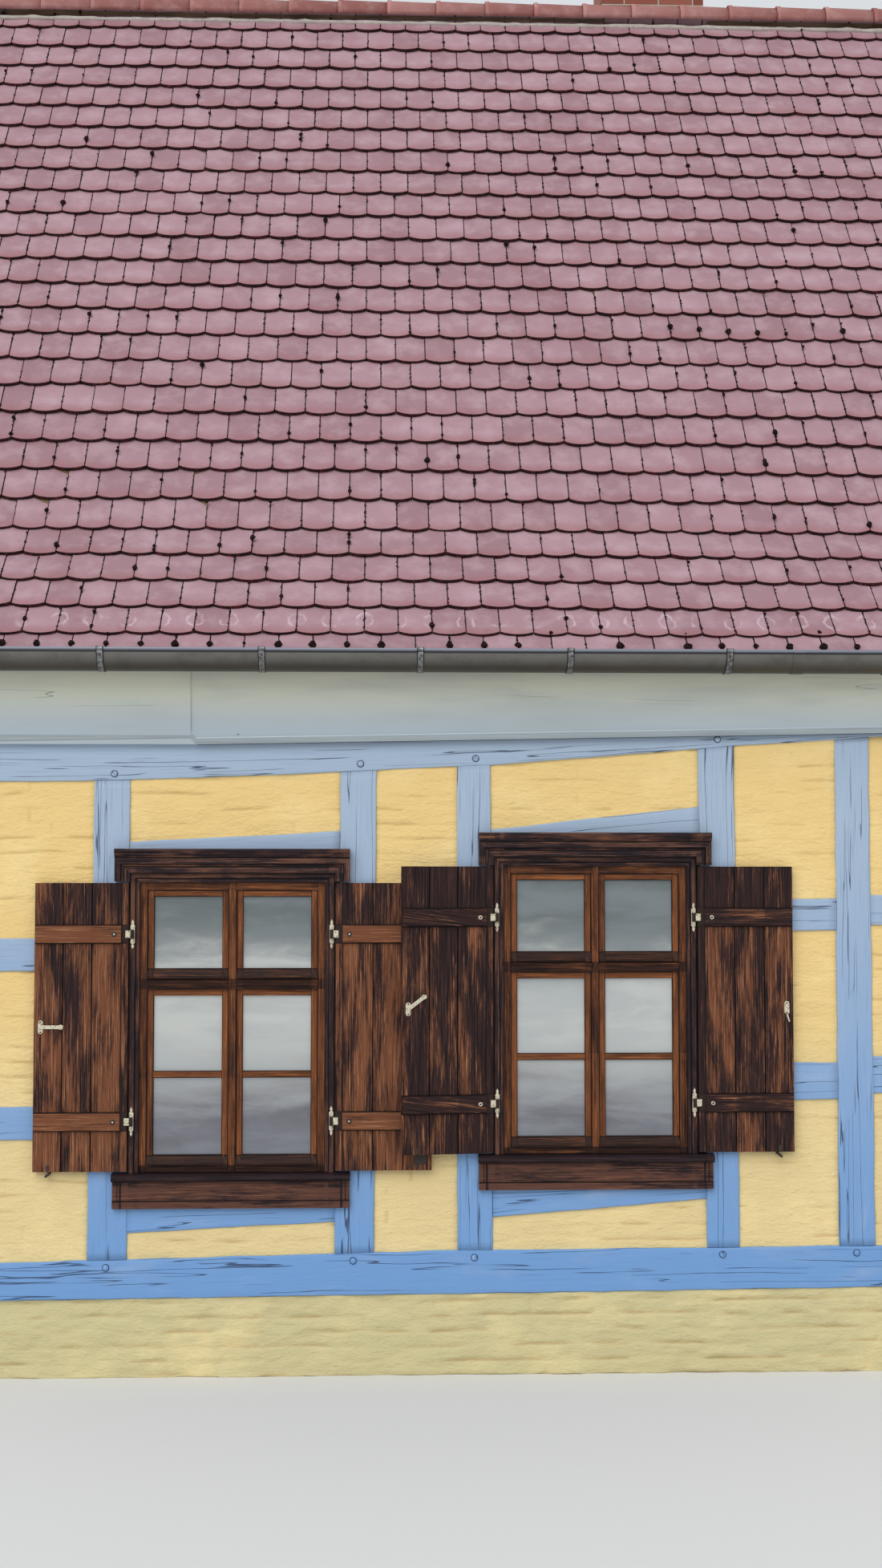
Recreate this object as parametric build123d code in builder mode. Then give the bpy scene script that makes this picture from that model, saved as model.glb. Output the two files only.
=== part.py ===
"""A timber-framed house with a tiled roof, two shuttered windows and a gutter, in millimetres.

X runs along the ridge, Y from the front wall to the back wall, Z up from the ground.
The house stands with the middle of its walls over the origin.
"""
import os
from math import cos, radians, sin, tan

from build123d import *

os.makedirs("parts", exist_ok=True)

# Walls
HOUSE_LENGTH = 6985
HOUSE_DEPTH = 6860
WALL_THICKNESS = 180
CORNER_POST_WIDTH = 200
INFILL_RECESS = 12
INFILL_THICKNESS = 150
PLINTH_THICKNESS = 300
PLINTH_TOP_MIDDLE = 417
PLINTH_TOP_SLOPE = 0.0085
FLOOR_BOTTOM = 460
FLOOR_TOP = 560

# The sagging timbers of the long walls, as runs of (x, z) between the two gables
LEFT_SILL_TOP = 570
RIGHT_SILL_TOP = 655
SILL_TOP_RUN = ((-2493, 588), (-574, 629), (-183, 637), (2080, 650))
LEFT_PLATE_UNDER = 3060
RIGHT_PLATE_UNDER = 3340
PLATE_UNDER_RUN = (
    (-2523, 3067), (-1846, 3075), (-751, 3119), (-562, 3130), (-183, 3151),
    (36, 3159), (1130, 3244), (1322, 3263), (1860, 3298), (2040, 3312),
)
PLATE_TOP = 3460

# Posts left and right of each window: the gap to the opening and the width, at the foot and head
LEFT_WINDOW_POSTS = ((57, 57, 205, 187), (54, 80, 203, 189))
RIGHT_WINDOW_POSTS = ((57, 67, 184, 177), (105, 69, 168, 192))

# The post right of both windows as the x of its left and right edge, at the foot and at the head
LAST_INNER_POST = (1857, 2047, 1860, 2040)

# Each rail as its bay and the low and high edge at the left and right end
BAY_RAILS = (
    (0, 2081, 2251, 2081, 2251),
    (0, 1213, 1386, 1213, 1386),
    (2, 2160, 2330, 2165, 2335),
    (2, 1300, 1475, 1305, 1480),
    (4, 2285, 2455, 2290, 2460),
    (4, 1404, 1596, 1409, 1600),
)
LAST_BAY_RAILS = (
    (5, 2319, 2476, 2325, 2482),
    (5, 1439, 1631, 1445, 1637),
)

# Windows, measured on the left one; the right one sits higher by RIGHT_WINDOW_RISE
LEFT_WINDOW_X = -1310
RIGHT_WINDOW_X = 582
RIGHT_WINDOW_RISE = 86
SILL_RAIL_UNDER = (739, 788)
SILL_RAIL_UNDER_RIGHT = (806, 895)
HEAD_RAIL_OVER = (2754, 2810)
HEAD_RAIL_OVER_RIGHT = (2820, 2942)
FRAME_BOTTOM = 960
FRAME_TOP = 2590
LIGHT_BOTTOM = 1082
TRANSOM_BOTTOM = 1989
TRANSOM_TOP = 2043
LIGHT_TOP = 2502
OPENING_WIDTH = 958
JAMB_WIDTH = 38
MULLION_WIDTH = 41
MULLION_OUT = 5
TRANSOM_OUT = 10
TRANSOM_DRIP = 8
FRAME_DEPTH = 90
SASH_RECESS = 8
SASH_DEPTH = 40
STILE_WIDTH = 34
TOP_RAIL = 34
BOTTOM_RAIL = 54
GLAZING_BAR_BOTTOM = 1530
GLAZING_BAR_HEIGHT = 36
WEATHER_BAR_OUT = 20
WEATHER_BAR_LIP = 12
WEATHER_BAR_HEIGHT = 46
SASH_EDGE_CHAMFER = 5
GLASS_THICKNESS = 4
GLASS_INSET = 18

# Casing round a window
ARCHITRAVE_WIDTH = 50
ARCHITRAVE_BAND = 28
ARCHITRAVE_DEPTH = 26
ARCHITRAVE_INNER_DEPTH = 16
CASING_SILL_BOTTOM = 1005
CASING_SILL_TOP = 1048
CASING_SILL_OVER = 5
CASING_SILL_DEPTH = 60
CASING_SILL_NOSE = 12
APRON_BOTTOM = 865
APRON_OVER = 2
APRON_DEPTH = 24
APRON_STRIP_HEIGHT = 38
APRON_STRIP_DEPTH = 30
APRON_GROOVE_WIDTH = 4
APRON_GROOVE_DEPTH = 5
APRON_GROOVES = (24, 42)
EAR_WIDTH = 80
EAR_BAND = 33
EAR_BOTTOM = 2548
EAR_DEPTH = 58
EAR_INNER_DEPTH = 44
CROWN_BOTTOM = 2671
CROWN_TOP = 2717
CROWN_DEPTH = 75
CROWN_FILLET = 14
MOULDING_RADIUS = 7

# Shutters and their hinges
PIVOT_BESIDE = 36
PIVOT_OUT = 40
HINGE_GAP = 20
LEAF_MEETING_GAP = 6
LEAF_MEETING_SHIFT = 9
LEAF_GAP = 8
BOARD_OUT = 12
BOARD_THICKNESS = 22
BATTEN_THICKNESS = 18
BATTEN_HEIGHT = 94
BATTEN_END = 4
BATTEN_START = 58
BATTEN_CHAMFER = 6
BOARD_JOINTS = (0.39, 0.70)
BOARD_GROOVE_WIDTH = 6
BOARD_GROOVE_DEPTH = 5
LOW_HINGE_HEIGHT = 1311
HIGH_HINGE_HEIGHT = 2275
STRAP_PLATE_HEIGHT = 76
STRAP_PLATE_START = 24
STRAP_HEIGHT = 46
STRAP_THICKNESS = 4
EYE_RADIUS = 9
PIN_RADIUS = 5
PIN_PLAY = 0.1
PIN_TAIL = 14
HINGE_PLATE_THICKNESS = 2
HINGE_PLATE_HALF = ((0, 77), (5, 66), (7, 60), (4, 52), (11, 44))
AJAR_ANGLE = 8

# Roof
MAIN_PITCH = 56.26
EAVES_PITCH = 46.3
COURSE_EXPOSURE = 233.4
EAVES_COURSES = 4
LOWEST_COURSE_EXPOSURE = 178
TILE_EDGE_OUT = 190
TILE_EDGE_HEIGHT = 3713
ROOF_THICKNESS = 50
VERGE_OVERHANG = 150
VERGE_BOARD_THICKNESS = 25
VERGE_BOARD_DROP = 220
JOIST_WIDTH = 140
JOIST_HEIGHT = 150
JOIST_SPACING = 806
FIRST_JOIST_X = -2758
JOIST_COUNT = 8
RAFTER_DEPTH = 140
SPROCKET_UNDER = 3690
SPROCKET_OUT = 90
LOFT_FLOOR_THICKNESS = 30
LOFT_FLOOR_GAP = 12
COLLAR_HEIGHT = 5900
COLLAR_DEPTH = 160
RIDGE_CAP_RADIUS = 120
RIDGE_CAP_SINK = 40

# Eaves boards and gutters
EAVES_BOARD_THICKNESS = 26
EAVES_BOARD_LEAN = 45
EAVES_BOARD_PROUD = 10
EAVES_BOARD_JOINT = -1532
LEFT_EAVES_UNDER = 3260
RIGHT_EAVES_UNDER = 3357
EAVES_UNDER_RUN = ((-1500, 3262), (2108, 3331))
EAVES_TRIM_HEIGHT = 36
EAVES_TRIM_DEPTH = 34
GUTTER_RADIUS = 105
GUTTER_SHEET = 3
GUTTER_CENTRE_HEIGHT = 3730
GUTTER_BEAD_RADIUS = 8
GUTTER_JOINT_X = 1610
GUTTER_SLEEVE_WIDTH = 60
GUTTER_SLEEVE_THICKNESS = 3
BRACKET_XS = (-2758, -1974, -1146, -337, 431, 1249, 2078, 2884)
BRACKET_WIDTH = 30
BRACKET_THICKNESS = 5
BRACKET_TAIL = 46

# Gable walls
GABLE_POST_COUNT = 4
GABLE_POST_WIDTH = 180
GABLE_TIE_DEPTH = 240
GABLE_RAILS = ((1300, 1470), (2170, 2340))
GABLE_STRUT_WIDTH = 160
GABLE_STRUT_COUNT = 3
TRUSS_INFILL_THICKNESS = 110

# Chimney
CHIMNEY_LEFT = 1072
CHIMNEY_WIDTH = 741
CHIMNEY_FRONT = 140
CHIMNEY_DEPTH = 520
CHIMNEY_RISE = 913
CHIMNEY_CAP_HEIGHT = 120
CHIMNEY_CAP_OUT = 30
FLUE_WIDTH = 360
FLUE_DEPTH = 240
FLUE_BOTTOM = 1200

# Back door
DOOR_FRAME_LEFT = 2100
DOOR_FRAME_RIGHT = 3240
DOOR_FRAME_WIDTH = 60
DOOR_FRAME_TOP = 2640
DOOR_THRESHOLD = 60
DOOR_THICKNESS = 42
DOOR_BOARD_COUNT = 7
DOOR_RECESS = 40
DOOR_STEP_OUT = 310
DOOR_STEP_HEIGHT = 220

# Derived sizes
HALF_LENGTH = HOUSE_LENGTH / 2
HALF_DEPTH = HOUSE_DEPTH / 2
INNER_LENGTH = HALF_LENGTH - WALL_THICKNESS
INNER_DEPTH = HALF_DEPTH - WALL_THICKNESS
JOIST_TOP = PLATE_TOP + JOIST_HEIGHT
EAVE_REACH = HALF_DEPTH + TILE_EDGE_OUT
FLARE_LENGTH = EAVES_COURSES * COURSE_EXPOSURE + LOWEST_COURSE_EXPOSURE
BREAK_REACH = EAVE_REACH - FLARE_LENGTH * cos(radians(EAVES_PITCH))
BREAK_HEIGHT = TILE_EDGE_HEIGHT + FLARE_LENGTH * sin(radians(EAVES_PITCH))
RIDGE_HEIGHT = BREAK_HEIGHT + BREAK_REACH * tan(radians(MAIN_PITCH))
ROOF_END = HALF_LENGTH + VERGE_OVERHANG
CHIMNEY_TOP = RIDGE_HEIGHT + CHIMNEY_RISE
ARCHITRAVE_REACH = OPENING_WIDTH / 2 + ARCHITRAVE_WIDTH
EAR_REACH = ARCHITRAVE_REACH + EAR_WIDTH
PIVOT_OFFSET = OPENING_WIDTH / 2 + PIVOT_BESIDE
LEAF_REACH = PIVOT_OFFSET - HINGE_GAP - LEAF_MEETING_GAP / 2
LEFT_LEAF_WIDTH = LEAF_REACH - LEAF_MEETING_SHIFT
RIGHT_LEAF_WIDTH = LEAF_REACH + LEAF_MEETING_SHIFT
JOIST_XS = [FIRST_JOIST_X + JOIST_SPACING * number for number in range(JOIST_COUNT)]
BRACKET_REACH = HALF_DEPTH + SPROCKET_OUT
GUTTER_REACH = BRACKET_REACH + BRACKET_THICKNESS + GUTTER_RADIUS


def height_on(run, x):
    """Gives the height of a run of (x, z) points at x."""
    for (left_x, left_z), (right_x, right_z) in zip(run, run[1:]):
        if left_x <= x <= right_x:
            return left_z + (right_z - left_z) * (x - left_x) / (right_x - left_x)
    raise ValueError("x lies beyond the run")


def plinth_top(x):
    """Gives the height of the plinth's sloping top at x."""
    return PLINTH_TOP_MIDDLE + PLINTH_TOP_SLOPE * x


LEFT_CORNER = -HALF_LENGTH + CORNER_POST_WIDTH
RIGHT_CORNER = HALF_LENGTH - CORNER_POST_WIDTH
SILL_TOP = (
    (-HALF_LENGTH, LEFT_SILL_TOP), (LEFT_CORNER, LEFT_SILL_TOP), *SILL_TOP_RUN,
    (RIGHT_CORNER, RIGHT_SILL_TOP), (HALF_LENGTH, RIGHT_SILL_TOP),
)
PLATE_UNDER = (
    (-HALF_LENGTH, LEFT_PLATE_UNDER), (LEFT_CORNER, LEFT_PLATE_UNDER), *PLATE_UNDER_RUN,
    (RIGHT_CORNER, RIGHT_PLATE_UNDER), (HALF_LENGTH, RIGHT_PLATE_UNDER),
)
EAVES_BOARD_UNDER = (
    (-HALF_LENGTH, LEFT_EAVES_UNDER), *EAVES_UNDER_RUN, (HALF_LENGTH, RIGHT_EAVES_UNDER),
)


def posts_beside(window_x, left_post, right_post):
    """Gives the edges of the two posts that flank a window, at the foot and at the head."""
    opening_left = window_x - OPENING_WIDTH / 2
    opening_right = window_x + OPENING_WIDTH / 2
    foot_gap, head_gap, foot_width, head_width = left_post
    foot = opening_left - foot_gap
    head = opening_left - head_gap
    left_edges = (foot - foot_width, foot, head - head_width, head)
    foot_gap, head_gap, foot_width, head_width = right_post
    foot = opening_right + foot_gap
    head = opening_right + head_gap
    return [left_edges, (foot, foot + foot_width, head, head + head_width)]


POSTS = (
    (-HALF_LENGTH, LEFT_CORNER, -HALF_LENGTH, LEFT_CORNER),
    *posts_beside(LEFT_WINDOW_X, *LEFT_WINDOW_POSTS),
    *posts_beside(RIGHT_WINDOW_X, *RIGHT_WINDOW_POSTS),
    LAST_INNER_POST,
    (RIGHT_CORNER, HALF_LENGTH, RIGHT_CORNER, HALF_LENGTH),
)


def edge_at(foot_x, head_x, z):
    """Gives the x of a post's edge at height z."""
    foot_z = height_on(SILL_TOP, foot_x)
    head_z = height_on(PLATE_UNDER, head_x)
    return foot_x + (head_x - foot_x) * (z - foot_z) / (head_z - foot_z)


def post_corners(post):
    """Gives the corners of a post that stands on the sill beam and carries the plate."""
    foot_left, foot_right, head_left, head_right = post
    foot = [point for point in SILL_TOP if foot_left < point[0] < foot_right]
    head = [point for point in PLATE_UNDER if head_left < point[0] < head_right]
    return [
        (foot_left, height_on(SILL_TOP, foot_left)),
        *foot,
        (foot_right, height_on(SILL_TOP, foot_right)),
        (head_right, height_on(PLATE_UNDER, head_right)),
        *reversed(head),
        (head_left, height_on(PLATE_UNDER, head_left)),
    ]


def bay_corners(bay, left_low, left_high, right_low, right_high):
    """Gives the corners of a piece fitted between the two posts of a bay."""
    left_post = POSTS[bay]
    right_post = POSTS[bay + 1]
    return [
        (edge_at(left_post[1], left_post[3], left_low), left_low),
        (edge_at(right_post[0], right_post[2], right_low), right_low),
        (edge_at(right_post[0], right_post[2], right_high), right_high),
        (edge_at(left_post[1], left_post[3], left_high), left_high),
    ]


def rectangle(left, right, low, high):
    """Gives the corners of an upright rectangle."""
    return [(left, low), (right, low), (right, high), (left, high)]


def prism(corners, plane, length, mode=Mode.ADD):
    """Adds a prism that stands on a plane to the part being built."""
    with BuildSketch(plane) as outline:
        Polygon(*corners, align=None)
    extrude(outline.sketch, amount=length, dir=plane.z_dir, mode=mode)


def wall_prism(corners, side, outer, inner, mode=Mode.ADD):
    """Adds a prism on the front wall (side 1) or the back wall (side -1).

    The distances outer and inner are measured outwards from the wall's face.
    """
    plane = Plane.XZ.offset(side * (HALF_DEPTH + outer))
    prism(corners, plane, side * (inner - outer), mode)


def gable_prism(corners, side, outer, inner, mode=Mode.ADD):
    """Adds a prism on the left gable (side -1) or the right gable (side 1)."""
    plane = Plane.YZ.offset(side * (HALF_LENGTH + outer))
    prism(corners, plane, side * (inner - outer), mode)


def section_prism(corners, left, right, mode=Mode.ADD):
    """Adds a prism along the ridge, from x = left to x = right."""
    prism(corners, Plane.YZ.offset(left), right - left, mode)


def block(x_range, y_range, z_range, mode=Mode.ADD):
    """Adds a box between three pairs of coordinates."""
    with Locations((min(x_range), min(y_range), min(z_range))):
        Box(
            abs(x_range[1] - x_range[0]),
            abs(y_range[1] - y_range[0]),
            abs(z_range[1] - z_range[0]),
            align=(Align.MIN, Align.MIN, Align.MIN),
            mode=mode,
        )


def chimney_block(mode):
    """Adds or takes away the chimney stack's full outline."""
    block(
        (CHIMNEY_LEFT, CHIMNEY_LEFT + CHIMNEY_WIDTH),
        (CHIMNEY_FRONT, CHIMNEY_FRONT + CHIMNEY_DEPTH),
        (0, CHIMNEY_TOP),
        mode,
    )


def roof_top_line(side):
    """Gives the ridge, the break and the eave of the tiles' upper surface."""
    return [
        (0, RIDGE_HEIGHT),
        (side * BREAK_REACH, BREAK_HEIGHT),
        (side * EAVE_REACH, TILE_EDGE_HEIGHT),
    ]


def main_line(depth, reach):
    """Gives the height of a line that lies depth below the main slope."""
    return RIDGE_HEIGHT - depth / cos(radians(MAIN_PITCH)) - reach * tan(radians(MAIN_PITCH))


def eaves_line(depth, reach):
    """Gives the height of a line that lies depth below the flared eaves."""
    drop = depth / cos(radians(EAVES_PITCH))
    return TILE_EDGE_HEIGHT - drop + (EAVE_REACH - reach) * tan(radians(EAVES_PITCH))


def break_reach(depth):
    """Gives the reach at which the main line and the eaves line of a depth meet."""
    return (main_line(depth, 0) - eaves_line(depth, 0)) / (
        tan(radians(MAIN_PITCH)) - tan(radians(EAVES_PITCH))
    )


def roof_under_line(side):
    """Gives the eave, the break and the ridge of the roof covering's underside."""
    eave = EAVE_REACH - ROOF_THICKNESS * sin(radians(EAVES_PITCH))
    bend = break_reach(ROOF_THICKNESS)
    return [
        (side * eave, eaves_line(ROOF_THICKNESS, eave)),
        (side * bend, main_line(ROOF_THICKNESS, bend)),
        (0, main_line(ROOF_THICKNESS, 0)),
    ]


def rafter_under_reach(height):
    """Gives the reach at which the rafters' underside passes a height."""
    return (main_line(ROOF_THICKNESS + RAFTER_DEPTH, 0) - height) / tan(radians(MAIN_PITCH))


def rafter_pair():
    """Gives the outline of two rafters with their sprockets, as one crossed pair."""
    bend = break_reach(ROOF_THICKNESS)
    end = HALF_DEPTH + SPROCKET_OUT
    half = [
        (0, main_line(ROOF_THICKNESS, 0)),
        (bend, main_line(ROOF_THICKNESS, bend)),
        (end, eaves_line(ROOF_THICKNESS, end)),
        (end, SPROCKET_UNDER),
        (HALF_DEPTH, SPROCKET_UNDER),
        (HALF_DEPTH, JOIST_TOP),
        (rafter_under_reach(JOIST_TOP), JOIST_TOP),
    ]
    under_ridge = (0, main_line(ROOF_THICKNESS + RAFTER_DEPTH, 0))
    mirrored = [(-reach, height) for reach, height in reversed(half[1:])]
    return [*half, under_ridge, *mirrored]


def wall_outline():
    """Gives the outline of a long wall between its sill beam and its plate."""
    return [*SILL_TOP, *reversed(PLATE_UNDER)]


# One row per window: its middle, its rise, its bay and the edges of the rails under and over it
WINDOWS = (
    (LEFT_WINDOW_X, 0, 1, SILL_RAIL_UNDER, HEAD_RAIL_OVER),
    (RIGHT_WINDOW_X, RIGHT_WINDOW_RISE, 3, SILL_RAIL_UNDER_RIGHT, HEAD_RAIL_OVER_RIGHT),
)


def window_rails(window):
    """Gives the corners of the rail under a window and of the rail over it."""
    middle, rise, bay, under, over = window
    bottom = FRAME_BOTTOM + rise
    top = FRAME_TOP + rise
    return [
        bay_corners(bay, under[0], bottom, under[1], bottom),
        bay_corners(bay, top, over[0], top, over[1]),
    ]


def frame_corners(window):
    """Gives the outline of a window frame, which fills its bay from post to post."""
    middle, rise, bay, under, over = window
    bottom = FRAME_BOTTOM + rise
    top = FRAME_TOP + rise
    return bay_corners(bay, bottom, top, bottom, top)


def lights(window):
    """Gives the four light openings of a window as left, right, low and high."""
    middle, rise = window[:2]
    outer = OPENING_WIDTH / 2 - JAMB_WIDTH
    inner = MULLION_WIDTH / 2
    sides = ((middle - outer, middle - inner), (middle + inner, middle + outer))
    heights = ((LIGHT_BOTTOM, TRANSOM_BOTTOM), (TRANSOM_TOP, LIGHT_TOP))
    return [
        (left, right, low + rise, high + rise)
        for left, right in sides
        for low, high in heights
    ]


def panes(window):
    """Gives the glazed openings of a window's sashes as left, right, low and high."""
    rise = window[1]
    openings = []
    for left, right, low, high in lights(window):
        left_edge = left + STILE_WIDTH
        right_edge = right - STILE_WIDTH
        if low == LIGHT_BOTTOM + rise:
            bar = GLAZING_BAR_BOTTOM + rise
            openings.append((left_edge, right_edge, low + BOTTOM_RAIL, bar))
            bar_top = bar + GLAZING_BAR_HEIGHT
            openings.append((left_edge, right_edge, bar_top, high - TOP_RAIL))
        else:
            openings.append((left_edge, right_edge, low + BOTTOM_RAIL, high - TOP_RAIL))
    return openings


def add_profile(points, side, left, right):
    """Adds a moulding along a wall from (distance out, height) points of its section."""
    section_prism([(-side * (HALF_DEPTH + out), z) for out, z in points], left, right)


def add_frame(window, side):
    """Adds a window's fixed frame with its proud mullion and its dripping transom."""
    middle, rise = window[:2]
    wall_prism(frame_corners(window), side, 0, -FRAME_DEPTH)
    for light in lights(window):
        wall_prism(rectangle(*light), side, 0, -FRAME_DEPTH, Mode.SUBTRACT)
    half_mullion = MULLION_WIDTH / 2
    half_light = OPENING_WIDTH / 2 - JAMB_WIDTH
    low = LIGHT_BOTTOM + rise
    high = LIGHT_TOP + rise
    mullion = rectangle(middle - half_mullion, middle + half_mullion, low, high)
    wall_prism(mullion, side, MULLION_OUT, 0)
    transom_bottom = TRANSOM_BOTTOM + rise
    transom_top = TRANSOM_TOP + rise
    transom = [
        (0, transom_bottom),
        (TRANSOM_OUT, transom_bottom),
        (TRANSOM_OUT, transom_bottom + TRANSOM_DRIP),
        (TRANSOM_OUT - MULLION_OUT, transom_bottom + TRANSOM_DRIP),
        (TRANSOM_OUT + MULLION_OUT, transom_top - TRANSOM_DRIP),
        (0, transom_top),
    ]
    add_profile(transom, side, middle - half_light, middle + half_light)


def add_sashes(window, side):
    """Adds a window's four sashes with chamfered edges, glazing bars and weather bars."""
    for light in lights(window):
        wall_prism(rectangle(*light), side, -SASH_RECESS, -SASH_RECESS - SASH_DEPTH)
    for pane in panes(window):
        wall_prism(rectangle(*pane), side, 0, -FRAME_DEPTH, Mode.SUBTRACT)
    face_y = -side * (HALF_DEPTH - SASH_RECESS)
    for left, right, low, high in panes(window):
        rim = rectangle(
            left - SASH_EDGE_CHAMFER,
            right + SASH_EDGE_CHAMFER,
            low - SASH_EDGE_CHAMFER,
            high + SASH_EDGE_CHAMFER,
        )
        with BuildSketch(Plane.XZ.offset(-face_y)) as rim_outline:
            Polygon(*rim, align=None)
        extrude(
            rim_outline.sketch,
            amount=SASH_EDGE_CHAMFER,
            dir=(0, side, 0),
            taper=45,
            mode=Mode.SUBTRACT,
        )
    for left, right, low, high in lights(window):
        bar = [
            (-SASH_RECESS, low),
            (WEATHER_BAR_OUT - SASH_RECESS, low),
            (WEATHER_BAR_OUT - SASH_RECESS, low + WEATHER_BAR_LIP),
            (-SASH_RECESS, low + WEATHER_BAR_HEIGHT),
        ]
        add_profile(bar, side, left, right)


def add_glass(window, side):
    """Adds a window's panes of glass."""
    outer = -SASH_RECESS - GLASS_INSET
    for pane in panes(window):
        wall_prism(rectangle(*pane), side, outer, outer - GLASS_THICKNESS)


def head_section():
    """Gives the head moulding's section: a rounded outer band, a hollow and an inner band."""
    hollow = EAR_DEPTH - EAR_INNER_DEPTH
    with BuildLine() as outline:
        Line((0, 0), (0, EAR_DEPTH - MOULDING_RADIUS))
        CenterArc((MOULDING_RADIUS, EAR_DEPTH - MOULDING_RADIUS), MOULDING_RADIUS, 180, -90)
        Line((MOULDING_RADIUS, EAR_DEPTH), (EAR_BAND, EAR_DEPTH))
        CenterArc((EAR_BAND + hollow, EAR_DEPTH), hollow, 180, 90)
        Polyline(
            (EAR_BAND + hollow, EAR_INNER_DEPTH),
            (EAR_WIDTH, EAR_INNER_DEPTH),
            (EAR_WIDTH, 0),
            (0, 0),
        )
    return outline.edges()


def architrave_section():
    """Gives the architrave's section: an outer band that rounds down to an inner one."""
    with BuildLine() as outline:
        Polyline(
            (ARCHITRAVE_BAND, ARCHITRAVE_DEPTH - MOULDING_RADIUS),
            (ARCHITRAVE_BAND, ARCHITRAVE_INNER_DEPTH),
            (ARCHITRAVE_WIDTH, ARCHITRAVE_INNER_DEPTH),
            (ARCHITRAVE_WIDTH, 0),
            (0, 0),
            (0, ARCHITRAVE_DEPTH),
            (ARCHITRAVE_BAND - MOULDING_RADIUS, ARCHITRAVE_DEPTH),
        )
        centre = (ARCHITRAVE_BAND - MOULDING_RADIUS, ARCHITRAVE_DEPTH - MOULDING_RADIUS)
        CenterArc(centre, MOULDING_RADIUS, 90, -90)
    return outline.edges()


def sweep_round(window, side, outline, half_width, low, high):
    """Sweeps a section up, across and down round an opening, with mitred corners.

    The section's outline has x inwards from the outer edge and y out of the wall.
    """
    middle, rise = window[:2]
    wall_y = -side * HALF_DEPTH
    foot = (middle - half_width, wall_y, low + rise)
    with BuildSketch(Plane(origin=foot, x_dir=(1, 0, 0), z_dir=(0, 0, -side))) as section:
        make_face(outline)
    with BuildLine() as path:
        Polyline(
            foot,
            (middle - half_width, wall_y, high + rise),
            (middle + half_width, wall_y, high + rise),
            (middle + half_width, wall_y, low + rise),
        )
    sweep(section.sketch, path=path.line, transition=Transition.RIGHT)


def add_casing(window, side):
    """Adds the boards round a window: its mouldings, crown, sill and apron."""
    middle, rise = window[:2]
    architrave_top = CROWN_BOTTOM - EAR_WIDTH
    head = head_section()
    architrave = architrave_section()
    sweep_round(window, side, head, EAR_REACH, EAR_BOTTOM, CROWN_BOTTOM)
    sweep_round(window, side, architrave, ARCHITRAVE_REACH, CASING_SILL_TOP, architrave_top)
    crown = [
        (0, CROWN_BOTTOM + rise),
        (EAR_DEPTH, CROWN_BOTTOM + rise),
        (CROWN_DEPTH, CROWN_TOP - CROWN_FILLET + rise),
        (CROWN_DEPTH, CROWN_TOP + rise),
        (0, CROWN_TOP + rise),
    ]
    add_profile(crown, side, middle - EAR_REACH, middle + EAR_REACH)
    half_sill = EAR_REACH + CASING_SILL_OVER
    sill = [
        (0, CASING_SILL_BOTTOM + rise),
        (CASING_SILL_DEPTH - CASING_SILL_NOSE, CASING_SILL_BOTTOM + rise),
        (CASING_SILL_DEPTH, CASING_SILL_BOTTOM + CASING_SILL_NOSE + rise),
        (CASING_SILL_DEPTH, CASING_SILL_TOP - CASING_SILL_NOSE + rise),
        (ARCHITRAVE_DEPTH, CASING_SILL_TOP + rise),
        (0, CASING_SILL_TOP + rise),
    ]
    add_profile(sill, side, middle - half_sill, middle + half_sill)
    half_apron = EAR_REACH + APRON_OVER
    low = APRON_BOTTOM + rise
    strip_top = low + APRON_STRIP_HEIGHT
    high = CASING_SILL_BOTTOM + rise
    apron = rectangle(middle - half_apron, middle + half_apron, low, high)
    wall_prism(apron, side, APRON_DEPTH, 0)
    strip = rectangle(middle - half_apron, middle + half_apron, low, strip_top)
    wall_prism(strip, side, APRON_STRIP_DEPTH, 0)
    for distance in APRON_GROOVES:
        for hand in (-1, 1):
            edge = middle + hand * (half_apron - distance)
            groove = rectangle(edge, edge + APRON_GROOVE_WIDTH, strip_top, high)
            inner_depth = APRON_DEPTH - APRON_GROOVE_DEPTH
            wall_prism(groove, side, APRON_DEPTH, inner_depth, Mode.SUBTRACT)


def hinge_heights():
    """Gives the heights of the two hinges above a leaf's lower edge."""
    bottom = CASING_SILL_TOP + LEAF_GAP
    return (LOW_HINGE_HEIGHT - bottom, HIGH_HINGE_HEIGHT - bottom)


def leaf_plane(window, hand, turn=0):
    """Gives a plane at the foot of a leaf's hinge line, turned by an angle about it."""
    middle, rise = window[:2]
    origin = (
        middle + hand * PIVOT_OFFSET,
        -HALF_DEPTH - PIVOT_OUT,
        CASING_SILL_TOP + LEAF_GAP + rise,
    )
    return Plane(origin=origin, x_dir=(cos(radians(turn)), sin(radians(turn)), 0), z_dir=(0, 0, 1))


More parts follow.
